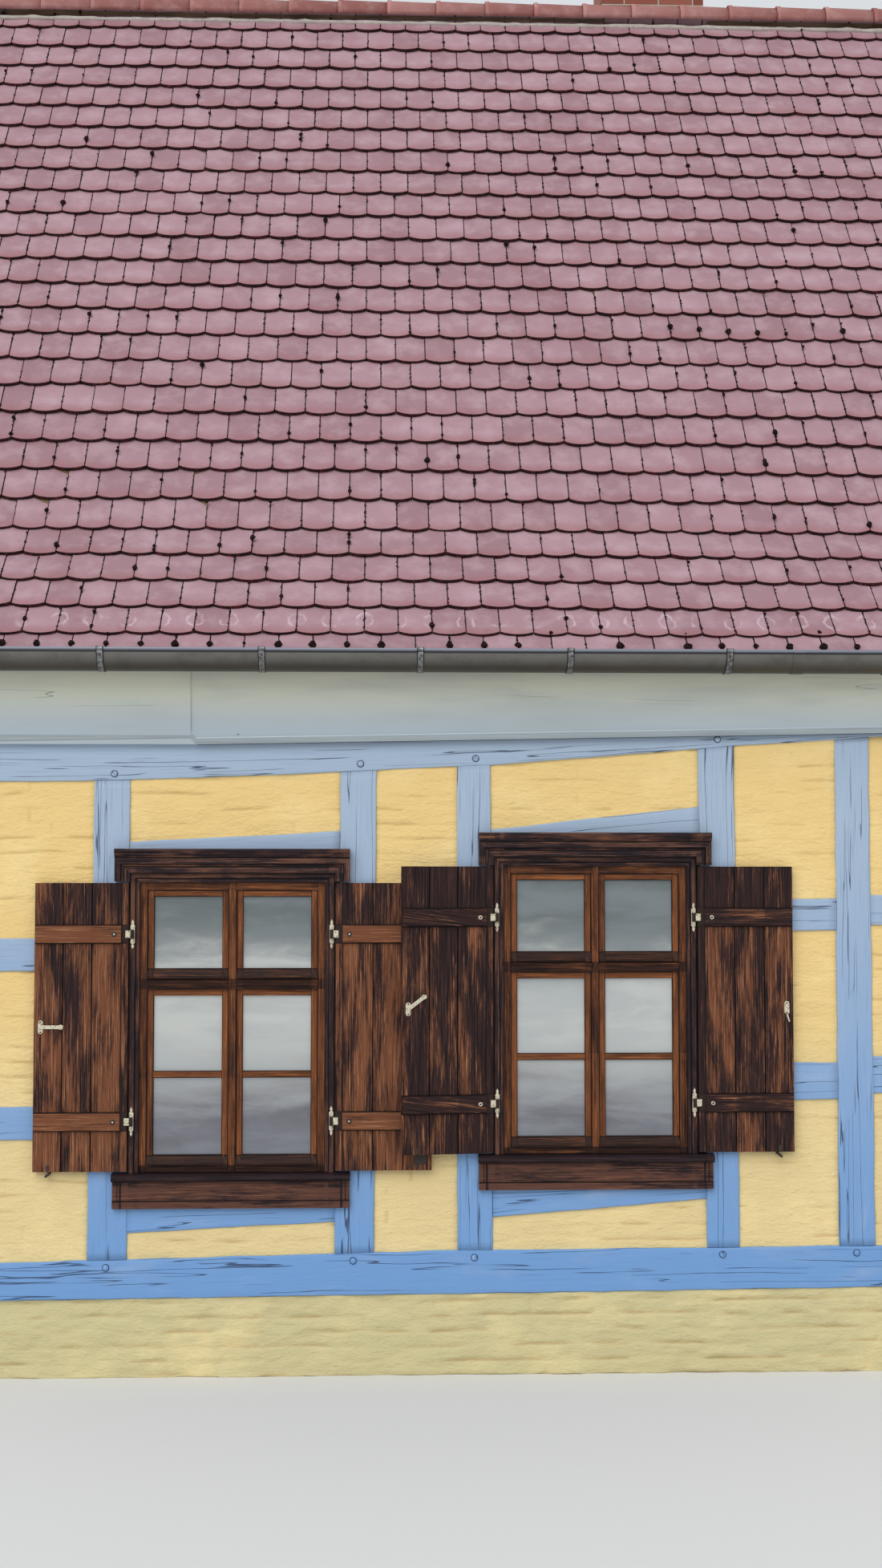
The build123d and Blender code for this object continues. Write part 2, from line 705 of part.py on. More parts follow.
def leaf(hand, width):
    """Builds a leaf beside its hinge line: V-jointed boards, two battens, two straps with eyes."""
    height = EAR_BOTTOM - CASING_SILL_TOP - LEAF_GAP - LEAF_GAP
    back = PIVOT_OUT - BOARD_OUT
    face = back - BOARD_THICKNESS
    batten_face = face - BATTEN_THICKNESS
    start = hand * HINGE_GAP
    end = hand * (HINGE_GAP + width)
    batten_start = hand * BATTEN_START
    batten_end = end - hand * BATTEN_END
    half_groove = BOARD_GROOVE_WIDTH / 2
    half_batten = BATTEN_HEIGHT / 2
    half_strap = STRAP_HEIGHT / 2
    half_plate = STRAP_PLATE_HEIGHT / 2
    strap_y = (face - STRAP_THICKNESS, face)
    plate_x = (hand * STRAP_PLATE_START, batten_start)
    with BuildPart() as boards:
        block((start, end), (face, back), (0, height))
        for share in BOARD_JOINTS:
            joint_x = start + (end - start) * share
            for surface, depth in ((face, BOARD_GROOVE_DEPTH), (back, -BOARD_GROOVE_DEPTH)):
                groove = [
                    (joint_x - half_groove, surface),
                    (joint_x + half_groove, surface),
                    (joint_x, surface + depth),
                ]
                prism(groove, Plane.XY, height, Mode.SUBTRACT)
        for level in hinge_heights():
            batten = [
                (face, level - half_batten),
                (batten_face + BATTEN_CHAMFER, level - half_batten),
                (batten_face, level - half_batten + BATTEN_CHAMFER),
                (batten_face, level + half_batten - BATTEN_CHAMFER),
                (batten_face + BATTEN_CHAMFER, level + half_batten),
                (face, level + half_batten),
            ]
            section_prism(batten, *sorted((batten_start, batten_end)))
            block(plate_x, strap_y, (level - half_plate, level + half_plate))
            block((0, plate_x[0]), strap_y, (level - half_strap, level + half_strap))
            with Locations((0, 0, level)):
                Cylinder(EYE_RADIUS, STRAP_HEIGHT)
                Cylinder(PIN_RADIUS + PIN_PLAY, STRAP_HEIGHT, mode=Mode.SUBTRACT)
    return boards.part


def add_pintles(window, hand):
    """Adds a leaf's two pointed hinge plates with the pins that its eyes turn on."""
    half_strap = STRAP_HEIGHT / 2
    plate_back = PIVOT_OUT - ARCHITRAVE_DEPTH
    plate_face = plate_back - HINGE_PLATE_THICKNESS
    x = window[0] + hand * PIVOT_OFFSET
    y = -HALF_DEPTH - PIVOT_OUT
    right_half = [*HINGE_PLATE_HALF, *((dx, -dz) for dx, dz in reversed(HINGE_PLATE_HALF))]
    left_half = [(-dx, dz) for dx, dz in reversed(right_half[1:-1])]
    for height in (LOW_HINGE_HEIGHT, HIGH_HINGE_HEIGHT):
        z = height + window[1]
        outline = [(x + dx, z + dz) for dx, dz in right_half + left_half]
        prism(outline, Plane.XZ.offset(-y - plate_back), HINGE_PLATE_THICKNESS)
        lug_range = (z - half_strap - PIN_TAIL, z - half_strap)
        block((x - PIN_RADIUS, x + PIN_RADIUS), (y, y + plate_face), lug_range)
        with Locations((x, y, z - half_strap - PIN_TAIL)):
            Cylinder(
                PIN_RADIUS,
                STRAP_HEIGHT + PIN_TAIL + PIN_RADIUS,
                align=(Align.CENTER, Align.CENTER, Align.MIN),
            )


# Plinth of painted brick
with BuildPart() as plinth:
    block(
        (-HALF_LENGTH + INFILL_RECESS, HALF_LENGTH - INFILL_RECESS),
        (-HALF_DEPTH + INFILL_RECESS, HALF_DEPTH - INFILL_RECESS),
        (0, PLATE_TOP),
    )
    block(
        (PLINTH_THICKNESS - HALF_LENGTH, HALF_LENGTH - PLINTH_THICKNESS),
        (PLINTH_THICKNESS - HALF_DEPTH, HALF_DEPTH - PLINTH_THICKNESS),
        (0, PLATE_TOP),
        Mode.SUBTRACT,
    )
    wall_prism(
        [
            (-HALF_LENGTH, plinth_top(-HALF_LENGTH)),
            (HALF_LENGTH, plinth_top(HALF_LENGTH)),
            (HALF_LENGTH, PLATE_TOP),
            (-HALF_LENGTH, PLATE_TOP),
        ],
        1,
        0,
        -HOUSE_DEPTH,
        Mode.SUBTRACT,
    )
plinth.part.label = "plinth"
export_step(plinth.part, "parts/plinth.step")

# Sill beams on the plinth
SILL_CORNERS = [
    *SILL_TOP,
    (HALF_LENGTH, plinth_top(HALF_LENGTH)),
    (-HALF_LENGTH, plinth_top(-HALF_LENGTH)),
]
with BuildPart() as front_sill_beam:
    wall_prism(SILL_CORNERS, 1, 0, -WALL_THICKNESS)
front_sill_beam.part.label = "front_sill_beam"
export_step(front_sill_beam.part, "parts/front_sill_beam.step")

DOOR_CORNERS = [
    (DOOR_FRAME_LEFT, plinth_top(DOOR_FRAME_LEFT)),
    (DOOR_FRAME_RIGHT, plinth_top(DOOR_FRAME_RIGHT)),
    (DOOR_FRAME_RIGHT, DOOR_FRAME_TOP),
    (DOOR_FRAME_LEFT, DOOR_FRAME_TOP),
]
with BuildPart() as back_sill_beam:
    wall_prism(SILL_CORNERS, -1, 0, -WALL_THICKNESS)
    wall_prism(DOOR_CORNERS, -1, 0, -WALL_THICKNESS, Mode.SUBTRACT)
back_sill_beam.part.label = "back_sill_beam"
export_step(back_sill_beam.part, "parts/back_sill_beam.step")

with BuildPart() as gable_sill_beams:
    for outer, inner, top in (
        (-HALF_LENGTH, -INNER_LENGTH, LEFT_SILL_TOP),
        (HALF_LENGTH, INNER_LENGTH, RIGHT_SILL_TOP),
    ):
        prism(
            [(outer, plinth_top(outer)), (inner, plinth_top(inner)), (inner, top), (outer, top)],
            Plane.XZ.offset(-INNER_DEPTH),
            2 * INNER_DEPTH,
        )
gable_sill_beams.part.label = "gable_sill_beams"
export_step(gable_sill_beams.part, "parts/gable_sill_beams.step")

# Posts of the long walls
with BuildPart() as front_posts:
    for post in POSTS:
        wall_prism(post_corners(post), 1, 0, -WALL_THICKNESS)
front_posts.part.label = "front_posts"
export_step(front_posts.part, "parts/front_posts.step")

with BuildPart() as back_posts:
    for post in POSTS:
        wall_prism(post_corners(post), -1, 0, -WALL_THICKNESS)
back_posts.part.label = "back_posts"
export_step(back_posts.part, "parts/back_posts.step")

# Rails between the posts
FRONT_RAILS = [bay_corners(*rail) for rail in BAY_RAILS + LAST_BAY_RAILS]
BACK_RAILS = [bay_corners(*rail) for rail in BAY_RAILS]
WINDOW_RAILS = [corners for window in WINDOWS for corners in window_rails(window)]
with BuildPart() as front_rails:
    for corners in FRONT_RAILS + WINDOW_RAILS:
        wall_prism(corners, 1, 0, -WALL_THICKNESS)
front_rails.part.label = "front_rails"
export_step(front_rails.part, "parts/front_rails.step")

with BuildPart() as back_rails:
    for corners in BACK_RAILS + WINDOW_RAILS:
        wall_prism(corners, -1, 0, -WALL_THICKNESS)
back_rails.part.label = "back_rails"
export_step(back_rails.part, "parts/back_rails.step")

# Wall plates on the posts, sagging towards the left
PLATE_CORNERS = [*PLATE_UNDER, (HALF_LENGTH, PLATE_TOP), (-HALF_LENGTH, PLATE_TOP)]
with BuildPart() as front_wall_plate:
    wall_prism(PLATE_CORNERS, 1, 0, -WALL_THICKNESS)
front_wall_plate.part.label = "front_wall_plate"
export_step(front_wall_plate.part, "parts/front_wall_plate.step")

with BuildPart() as back_wall_plate:
    wall_prism(PLATE_CORNERS, -1, 0, -WALL_THICKNESS)
back_wall_plate.part.label = "back_wall_plate"
export_step(back_wall_plate.part, "parts/back_wall_plate.step")

# Painted brick between the timbers of the long walls
with BuildPart() as front_infill:
    with BuildSketch(Plane.XZ.offset(HALF_DEPTH - INFILL_RECESS)) as front_panels:
        Polygon(*wall_outline(), align=None)
        for post in POSTS:
            Polygon(*post_corners(post), align=None, mode=Mode.SUBTRACT)
        for corners in FRONT_RAILS + WINDOW_RAILS:
            Polygon(*corners, align=None, mode=Mode.SUBTRACT)
        for window in WINDOWS:
            Polygon(*frame_corners(window), align=None, mode=Mode.SUBTRACT)
    extrude(front_panels.sketch, amount=INFILL_THICKNESS, dir=(0, 1, 0))
front_infill.part.label = "front_infill"
export_step(front_infill.part, "parts/front_infill.step")

with BuildPart() as back_infill:
    with BuildSketch(Plane.XZ.offset(INFILL_RECESS - HALF_DEPTH)) as back_panels:
        Polygon(*wall_outline(), align=None)
        for post in POSTS:
            Polygon(*post_corners(post), align=None, mode=Mode.SUBTRACT)
        for corners in BACK_RAILS + WINDOW_RAILS:
            Polygon(*corners, align=None, mode=Mode.SUBTRACT)
        for window in WINDOWS:
            Polygon(*frame_corners(window), align=None, mode=Mode.SUBTRACT)
        Polygon(*DOOR_CORNERS, align=None, mode=Mode.SUBTRACT)
    extrude(back_panels.sketch, amount=INFILL_THICKNESS, dir=(0, -1, 0))
back_infill.part.label = "back_infill"
export_step(back_infill.part, "parts/back_infill.step")

# Gable walls: posts and rails, then the brick between them
GABLE_TIE_UNDER = PLATE_TOP - GABLE_TIE_DEPTH
GABLE_BAY = (2 * INNER_DEPTH - GABLE_POST_COUNT * GABLE_POST_WIDTH) / (GABLE_POST_COUNT + 1)
GABLE_POST_LEFTS = [
    -INNER_DEPTH + GABLE_BAY + (GABLE_BAY + GABLE_POST_WIDTH) * number
    for number in range(GABLE_POST_COUNT)
]


def add_gable_frame(side, sill_top):
    """Adds the posts and rails of a gable as one frame."""
    for left in GABLE_POST_LEFTS:
        post = rectangle(left, left + GABLE_POST_WIDTH, sill_top, GABLE_TIE_UNDER)
        gable_prism(post, side, 0, -WALL_THICKNESS)
    for low, high in GABLE_RAILS:
        rail = rectangle(-INNER_DEPTH, INNER_DEPTH, low, high)
        gable_prism(rail, side, 0, -WALL_THICKNESS)


def add_gable_infill(side, sill_top):
    """Adds the brick panels of a gable."""
    outer = -INFILL_RECESS
    inner = outer - INFILL_THICKNESS
    wall = rectangle(-INNER_DEPTH, INNER_DEPTH, sill_top, GABLE_TIE_UNDER)
    gable_prism(wall, side, outer, inner)
    for left in GABLE_POST_LEFTS:
        post = rectangle(left, left + GABLE_POST_WIDTH, sill_top, GABLE_TIE_UNDER)
        gable_prism(post, side, outer, inner, Mode.SUBTRACT)
    for low, high in GABLE_RAILS:
        rail = rectangle(-INNER_DEPTH, INNER_DEPTH, low, high)
        gable_prism(rail, side, outer, inner, Mode.SUBTRACT)


with BuildPart() as left_gable_frame:
    add_gable_frame(-1, LEFT_SILL_TOP)
left_gable_frame.part.label = "left_gable_frame"
export_step(left_gable_frame.part, "parts/left_gable_frame.step")

with BuildPart() as right_gable_frame:
    add_gable_frame(1, RIGHT_SILL_TOP)
right_gable_frame.part.label = "right_gable_frame"
export_step(right_gable_frame.part, "parts/right_gable_frame.step")

with BuildPart() as left_gable_infill:
    add_gable_infill(-1, LEFT_SILL_TOP)
left_gable_infill.part.label = "left_gable_infill"
export_step(left_gable_infill.part, "parts/left_gable_infill.step")

with BuildPart() as right_gable_infill:
    add_gable_infill(1, RIGHT_SILL_TOP)
right_gable_infill.part.label = "right_gable_infill"
export_step(right_gable_infill.part, "parts/right_gable_infill.step")

with BuildPart() as gable_tie_beams:
    for side in (-1, 1):
        tie = rectangle(-INNER_DEPTH, INNER_DEPTH, GABLE_TIE_UNDER, PLATE_TOP)
        gable_prism(tie, side, 0, -WALL_THICKNESS)
gable_tie_beams.part.label = "gable_tie_beams"
export_step(gable_tie_beams.part, "parts/gable_tie_beams.step")

# Ground floor between the sill beams
with BuildPart() as ground_floor:
    block((-INNER_LENGTH, INNER_LENGTH), (-INNER_DEPTH, INNER_DEPTH), (FLOOR_BOTTOM, FLOOR_TOP))
    chimney_block(Mode.SUBTRACT)
ground_floor.part.label = "ground_floor"
export_step(ground_floor.part, "parts/ground_floor.step")

# Loft joists across the wall plates, with one over each gable
with BuildPart() as loft_joists:
    for x in JOIST_XS:
        joist_range = (x - JOIST_WIDTH / 2, x + JOIST_WIDTH / 2)
        block(joist_range, (-HALF_DEPTH, HALF_DEPTH), (PLATE_TOP, JOIST_TOP))
    for side in (-1, 1):
        joist_range = (side * HALF_LENGTH, side * (HALF_LENGTH - JOIST_WIDTH))
        block(joist_range, (-HALF_DEPTH, HALF_DEPTH), (PLATE_TOP, JOIST_TOP))
    chimney_block(Mode.SUBTRACT)
loft_joists.part.label = "loft_joists"
export_step(loft_joists.part, "parts/loft_joists.step")

# Loft floor boards on the joists
LOFT_FLOOR_TOP = JOIST_TOP + LOFT_FLOOR_THICKNESS
LOFT_FLOOR_REACH = rafter_under_reach(LOFT_FLOOR_TOP) - LOFT_FLOOR_GAP
with BuildPart() as loft_floor:
    block(
        (JOIST_WIDTH - HALF_LENGTH, HALF_LENGTH - JOIST_WIDTH),
        (-LOFT_FLOOR_REACH, LOFT_FLOOR_REACH),
        (JOIST_TOP, LOFT_FLOOR_TOP),
    )
    chimney_block(Mode.SUBTRACT)
loft_floor.part.label = "loft_floor"
export_step(loft_floor.part, "parts/loft_floor.step")

# Rafters with sprockets that flare the eaves
with BuildPart() as rafters:
    for x in JOIST_XS:
        section_prism(rafter_pair(), x - JOIST_WIDTH / 2, x + JOIST_WIDTH / 2)
    chimney_block(Mode.SUBTRACT)
rafters.part.label = "rafters"
export_step(rafters.part, "parts/rafters.step")


def add_gable_truss(side):
    """Adds a gable's rafters, collar and struts as one frame."""
    gable_prism(rafter_pair(), side, 0, -JOIST_WIDTH)
    collar_reach = rafter_under_reach(COLLAR_HEIGHT)
    collar_top = COLLAR_HEIGHT + COLLAR_DEPTH
    top_reach = rafter_under_reach(collar_top)
    collar = [
        (-collar_reach, COLLAR_HEIGHT),
        (collar_reach, COLLAR_HEIGHT),
        (top_reach, collar_top),
        (-top_reach, collar_top),
    ]
    gable_prism(collar, side, 0, -JOIST_WIDTH)
    spacing = 2 * collar_reach / (GABLE_STRUT_COUNT + 1)
    for number in range(GABLE_STRUT_COUNT):
        middle = -collar_reach + spacing * (number + 1)
        half = GABLE_STRUT_WIDTH / 2
        strut = rectangle(middle - half, middle + half, JOIST_TOP, COLLAR_HEIGHT)
        gable_prism(strut, side, 0, -JOIST_WIDTH)


def add_truss_infill(side):
    """Adds the brick that fills a gable's triangle round its truss."""
    reach = rafter_under_reach(JOIST_TOP)
    triangle = [(-reach, JOIST_TOP), (reach, JOIST_TOP)]
    triangle.append((0, main_line(ROOF_THICKNESS + RAFTER_DEPTH, 0)))
    gable_prism(triangle, side, -INFILL_RECESS, -INFILL_RECESS - TRUSS_INFILL_THICKNESS)


with BuildPart() as left_gable_truss:
    add_gable_truss(-1)
left_gable_truss.part.label = "left_gable_truss"
export_step(left_gable_truss.part, "parts/left_gable_truss.step")

with BuildPart() as right_gable_truss:
    add_gable_truss(1)
right_gable_truss.part.label = "right_gable_truss"
export_step(right_gable_truss.part, "parts/right_gable_truss.step")

with BuildPart() as gable_triangle_infill:
    add_truss_infill(-1)
    add_truss_infill(1)
    add(left_gable_truss.part, mode=Mode.SUBTRACT)
    add(right_gable_truss.part, mode=Mode.SUBTRACT)
gable_triangle_infill.part.label = "gable_triangle_infill"
export_step(gable_triangle_infill.part, "parts/gable_triangle_infill.step")

# Roof covering: tiles and battens of each slope
with BuildPart() as front_roof_slope:
    section_prism(roof_top_line(-1) + roof_under_line(-1), -ROOF_END, ROOF_END)
front_roof_slope.part.label = "front_roof_slope"
export_step(front_roof_slope.part, "parts/front_roof_slope.step")

with BuildPart() as back_roof_slope:
    section_prism(roof_top_line(1) + roof_under_line(1), -ROOF_END, ROOF_END)
    chimney_block(Mode.SUBTRACT)
back_roof_slope.part.label = "back_roof_slope"
export_step(back_roof_slope.part, "parts/back_roof_slope.step")

# Ridge tiles bedded in mortar
with BuildPart() as ridge_tiles:
    with BuildSketch(Plane.YZ.offset(-ROOF_END)) as ridge_outline:
        with Locations((0, RIDGE_HEIGHT - RIDGE_CAP_SINK)):
            Circle(RIDGE_CAP_RADIUS)
        roof_body = [*roof_top_line(1), (0, 0), *reversed(roof_top_line(-1)[1:])]
        Polygon(*roof_body, align=None, mode=Mode.SUBTRACT)
    extrude(ridge_outline.sketch, amount=2 * ROOF_END, dir=(1, 0, 0))
ridge_tiles.part.label = "ridge_tiles"
export_step(ridge_tiles.part, "parts/ridge_tiles.step")

# Verge boards against the ends of the roof covering
with BuildPart() as verge_boards:
    top_line = [*reversed(roof_top_line(-1)), *roof_top_line(1)[1:]]
    low_line = [(y, z - VERGE_BOARD_DROP) for y, z in reversed(top_line)]
    for left in (-ROOF_END - VERGE_BOARD_THICKNESS, ROOF_END):
        section_prism(top_line + low_line, left, left + VERGE_BOARD_THICKNESS)
verge_boards.part.label = "verge_boards"
export_step(verge_boards.part, "parts/verge_boards.step")


def add_eaves_board(side):
    """Adds two leaning eaves boards, cut to the slope of the trim that they stand on."""
    trim_top = [(x, z + EAVES_TRIM_HEIGHT) for x, z in EAVES_BOARD_UNDER]
    low = trim_top[0][1]
    for left, right, out in (
        (-HALF_LENGTH, EAVES_BOARD_JOINT, EAVES_BOARD_THICKNESS + EAVES_BOARD_PROUD),
        (EAVES_BOARD_JOINT, HALF_LENGTH, EAVES_BOARD_THICKNESS),
    ):
        profile = [
            (-side * HALF_DEPTH, low),
            (-side * (HALF_DEPTH + out), low),
            (-side * (HALF_DEPTH + EAVES_BOARD_LEAN + out), SPROCKET_UNDER),
            (-side * (HALF_DEPTH + EAVES_BOARD_LEAN), SPROCKET_UNDER),
        ]
        section_prism(profile, left, right)
    reach = EAVES_BOARD_LEAN + EAVES_BOARD_THICKNESS + EAVES_BOARD_PROUD
    wall_prism([*trim_top, (HALF_LENGTH, low)], side, reach, 0, Mode.SUBTRACT)
    wall_prism([*EAVES_BOARD_UNDER, *reversed(trim_top)], side, EAVES_TRIM_DEPTH, 0)


with BuildPart() as front_eaves_board:
    add_eaves_board(1)
front_eaves_board.part.label = "front_eaves_board"
export_step(front_eaves_board.part, "parts/front_eaves_board.step")

with BuildPart() as back_eaves_board:
    add_eaves_board(-1)
back_eaves_board.part.label = "back_eaves_board"
export_step(back_eaves_board.part, "parts/back_eaves_board.step")


def half_ring(centre, radius, thickness):
    """Draws the lower half of a ring of sheet metal."""
    with Locations(centre):
        Circle(radius)
        Circle(radius - thickness, mode=Mode.SUBTRACT)
        Rectangle(2 * radius, radius, align=(Align.CENTER, Align.MIN), mode=Mode.SUBTRACT)


def add_gutter(side):
    """Adds a half-round gutter with a beaded rim, a sleeved joint and two ends cut to the tiles."""
    centre = (-side * GUTTER_REACH, GUTTER_CENTRE_HEIGHT)
    rim = (-side * (GUTTER_REACH + GUTTER_RADIUS - GUTTER_SHEET), GUTTER_CENTRE_HEIGHT)
    with BuildSketch(Plane.YZ.offset(-ROOF_END)) as trough:
        half_ring(centre, GUTTER_RADIUS, GUTTER_SHEET)
        with Locations(rim):
            Circle(GUTTER_BEAD_RADIUS)
    extrude(trough.sketch, amount=2 * ROOF_END, dir=(1, 0, 0))
    for left in (-ROOF_END, ROOF_END - GUTTER_SHEET):
        with BuildSketch(Plane.YZ.offset(left)) as end_plate:
            with Locations(centre):
                Circle(GUTTER_RADIUS)
                Rectangle(
                    2 * GUTTER_RADIUS,
                    GUTTER_RADIUS,
                    align=(Align.CENTER, Align.MIN),
                    mode=Mode.SUBTRACT,
                )
            Polygon(*roof_top_line(-side), *roof_under_line(-side), align=None, mode=Mode.SUBTRACT)
        extrude(end_plate.sketch, amount=GUTTER_SHEET, dir=(1, 0, 0))
    sleeve_left = GUTTER_JOINT_X - GUTTER_SLEEVE_WIDTH / 2
    with BuildSketch(Plane.YZ.offset(sleeve_left)) as sleeve:
        half_ring(centre, GUTTER_RADIUS + GUTTER_SLEEVE_THICKNESS, GUTTER_SLEEVE_THICKNESS)
    extrude(sleeve.sketch, amount=GUTTER_SLEEVE_WIDTH, dir=(1, 0, 0))


with BuildPart() as front_gutter:
    add_gutter(1)
front_gutter.part.label = "front_gutter"
export_step(front_gutter.part, "parts/front_gutter.step")

with BuildPart() as back_gutter:
    add_gutter(-1)
back_gutter.part.label = "back_gutter"
export_step(back_gutter.part, "parts/back_gutter.step")

# Gutter brackets: each runs under the gutter up to its bead, with a tail nailed to a rafter foot
with BuildPart() as gutter_brackets:
    for side in (-1, 1):
        for x in BRACKET_XS:
            with BuildSketch(Plane.YZ.offset(x - BRACKET_WIDTH / 2)) as strap:
                half_ring(
                    (-side * GUTTER_REACH, GUTTER_CENTRE_HEIGHT),
                    GUTTER_RADIUS + BRACKET_THICKNESS,
                    BRACKET_THICKNESS,
                )
                rim = GUTTER_REACH + GUTTER_RADIUS - GUTTER_SHEET
                with Locations((-side * rim, GUTTER_CENTRE_HEIGHT)):
                    Rectangle(4 * GUTTER_BEAD_RADIUS, 2 * GUTTER_BEAD_RADIUS, mode=Mode.SUBTRACT)
                tail = (-side * (BRACKET_REACH + BRACKET_THICKNESS / 2), SPROCKET_UNDER)
                with Locations(tail):
                    Rectangle(BRACKET_THICKNESS, BRACKET_TAIL, align=(Align.CENTER, Align.MIN))
            extrude(strap.sketch, amount=BRACKET_WIDTH, dir=(1, 0, 0))
gutter_brackets.part.label = "gutter_brackets"
export_step(gutter_brackets.part, "parts/gutter_brackets.step")

# Chimney stack with one flue
with BuildPart() as chimney:
    chimney_block(Mode.ADD)
    block(
        (CHIMNEY_LEFT - CHIMNEY_CAP_OUT, CHIMNEY_LEFT + CHIMNEY_WIDTH + CHIMNEY_CAP_OUT),
        (CHIMNEY_FRONT - CHIMNEY_CAP_OUT, CHIMNEY_FRONT + CHIMNEY_DEPTH + CHIMNEY_CAP_OUT),
        (CHIMNEY_TOP - CHIMNEY_CAP_HEIGHT, CHIMNEY_TOP),
    )
    flue_left = CHIMNEY_LEFT + (CHIMNEY_WIDTH - FLUE_WIDTH) / 2
    flue_front = CHIMNEY_FRONT + (CHIMNEY_DEPTH - FLUE_DEPTH) / 2
    block(
        (flue_left, flue_left + FLUE_WIDTH),
        (flue_front, flue_front + FLUE_DEPTH),
        (FLUE_BOTTOM, CHIMNEY_TOP),
        Mode.SUBTRACT,
    )
chimney.part.label = "chimney"
export_step(chimney.part, "parts/chimney.step")

# Left window
with BuildPart() as left_window_frame:
    add_frame(WINDOWS[0], 1)
left_window_frame.part.label = "left_window_frame"
export_step(left_window_frame.part, "parts/left_window_frame.step")

with BuildPart() as left_window_sashes:
    add_sashes(WINDOWS[0], 1)
left_window_sashes.part.label = "left_window_sashes"
export_step(left_window_sashes.part, "parts/left_window_sashes.step")

with BuildPart() as left_window_glass:
    add_glass(WINDOWS[0], 1)
left_window_glass.part.label = "left_window_glass"
export_step(left_window_glass.part, "parts/left_window_glass.step")

with BuildPart() as left_window_casing:
    add_casing(WINDOWS[0], 1)
left_window_casing.part.label = "left_window_casing"
export_step(left_window_casing.part, "parts/left_window_casing.step")

# Right window
with BuildPart() as right_window_frame:
    add_frame(WINDOWS[1], 1)
right_window_frame.part.label = "right_window_frame"
export_step(right_window_frame.part, "parts/right_window_frame.step")

with BuildPart() as right_window_sashes:
    add_sashes(WINDOWS[1], 1)
right_window_sashes.part.label = "right_window_sashes"
export_step(right_window_sashes.part, "parts/right_window_sashes.step")

with BuildPart() as right_window_glass:
    add_glass(WINDOWS[1], 1)
right_window_glass.part.label = "right_window_glass"
export_step(right_window_glass.part, "parts/right_window_glass.step")

with BuildPart() as right_window_casing:
    add_casing(WINDOWS[1], 1)
right_window_casing.part.label = "right_window_casing"
export_step(right_window_casing.part, "parts/right_window_casing.step")

# Windows of the back wall, without shutters
with BuildPart() as back_window_frames:
    for window in WINDOWS:
        add_frame(window, -1)
back_window_frames.part.label = "back_window_frames"
export_step(back_window_frames.part, "parts/back_window_frames.step")

with BuildPart() as back_window_sashes:
    for window in WINDOWS:
        add_sashes(window, -1)
back_window_sashes.part.label = "back_window_sashes"
export_step(back_window_sashes.part, "parts/back_window_sashes.step")

with BuildPart() as back_window_glass:
    for window in WINDOWS:
        add_glass(window, -1)
back_window_glass.part.label = "back_window_glass"
export_step(back_window_glass.part, "parts/back_window_glass.step")

with BuildPart() as back_window_casings:
    for window in WINDOWS:
        add_casing(window, -1)
back_window_casings.part.label = "back_window_casings"
export_step(back_window_casings.part, "parts/back_window_casings.step")

# Shutter leaves, modelled open
with BuildPart() as left_window_left_shutter:
    hinge_line = leaf_plane(WINDOWS[0], -1)
    add(hinge_line.location * leaf(-1, LEFT_LEAF_WIDTH))
left_window_left_shutter.part.label = "left_window_left_shutter"
export_step(left_window_left_shutter.part, "parts/left_window_left_shutter.step")

with BuildPart() as left_window_right_shutter:
    hinge_line = leaf_plane(WINDOWS[0], 1)
    add(hinge_line.location * leaf(1, RIGHT_LEAF_WIDTH))
left_window_right_shutter.part.label = "left_window_right_shutter"
export_step(left_window_right_shutter.part, "parts/left_window_right_shutter.step")

with BuildPart() as right_window_left_shutter:
    hinge_line = leaf_plane(WINDOWS[1], -1, AJAR_ANGLE)
    add(hinge_line.location * leaf(-1, LEFT_LEAF_WIDTH))
right_window_left_shutter.part.label = "right_window_left_shutter"
export_step(right_window_left_shutter.part, "parts/right_window_left_shutter.step")

with BuildPart() as right_window_right_shutter:
    hinge_line = leaf_plane(WINDOWS[1], 1)
    add(hinge_line.location * leaf(1, RIGHT_LEAF_WIDTH))
right_window_right_shutter.part.label = "right_window_right_shutter"
export_step(right_window_right_shutter.part, "parts/right_window_right_shutter.step")

with BuildPart() as shutter_pintles:
    for window in WINDOWS:
        for hand in (-1, 1):
            add_pintles(window, hand)
shutter_pintles.part.label = "shutter_pintles"
export_step(shutter_pintles.part, "parts/shutter_pintles.step")

# Back door in its frame, with a step before it
DOOR_LEFT = DOOR_FRAME_LEFT + DOOR_FRAME_WIDTH
DOOR_RIGHT = DOOR_FRAME_RIGHT - DOOR_FRAME_WIDTH
DOOR_BOTTOM = plinth_top(DOOR_FRAME_RIGHT) + DOOR_THRESHOLD
DOOR_HEAD = DOOR_FRAME_TOP - DOOR_FRAME_WIDTH
DOOR_OUTLINE = rectangle(DOOR_LEFT, DOOR_RIGHT, DOOR_BOTTOM, DOOR_HEAD)
with BuildPart() as back_door_frame:
    wall_prism(DOOR_CORNERS, -1, 0, -WALL_THICKNESS)
    wall_prism(DOOR_OUTLINE, -1, 0, -WALL_THICKNESS, Mode.SUBTRACT)
back_door_frame.part.label = "back_door_frame"
export_step(back_door_frame.part, "parts/back_door_frame.step")

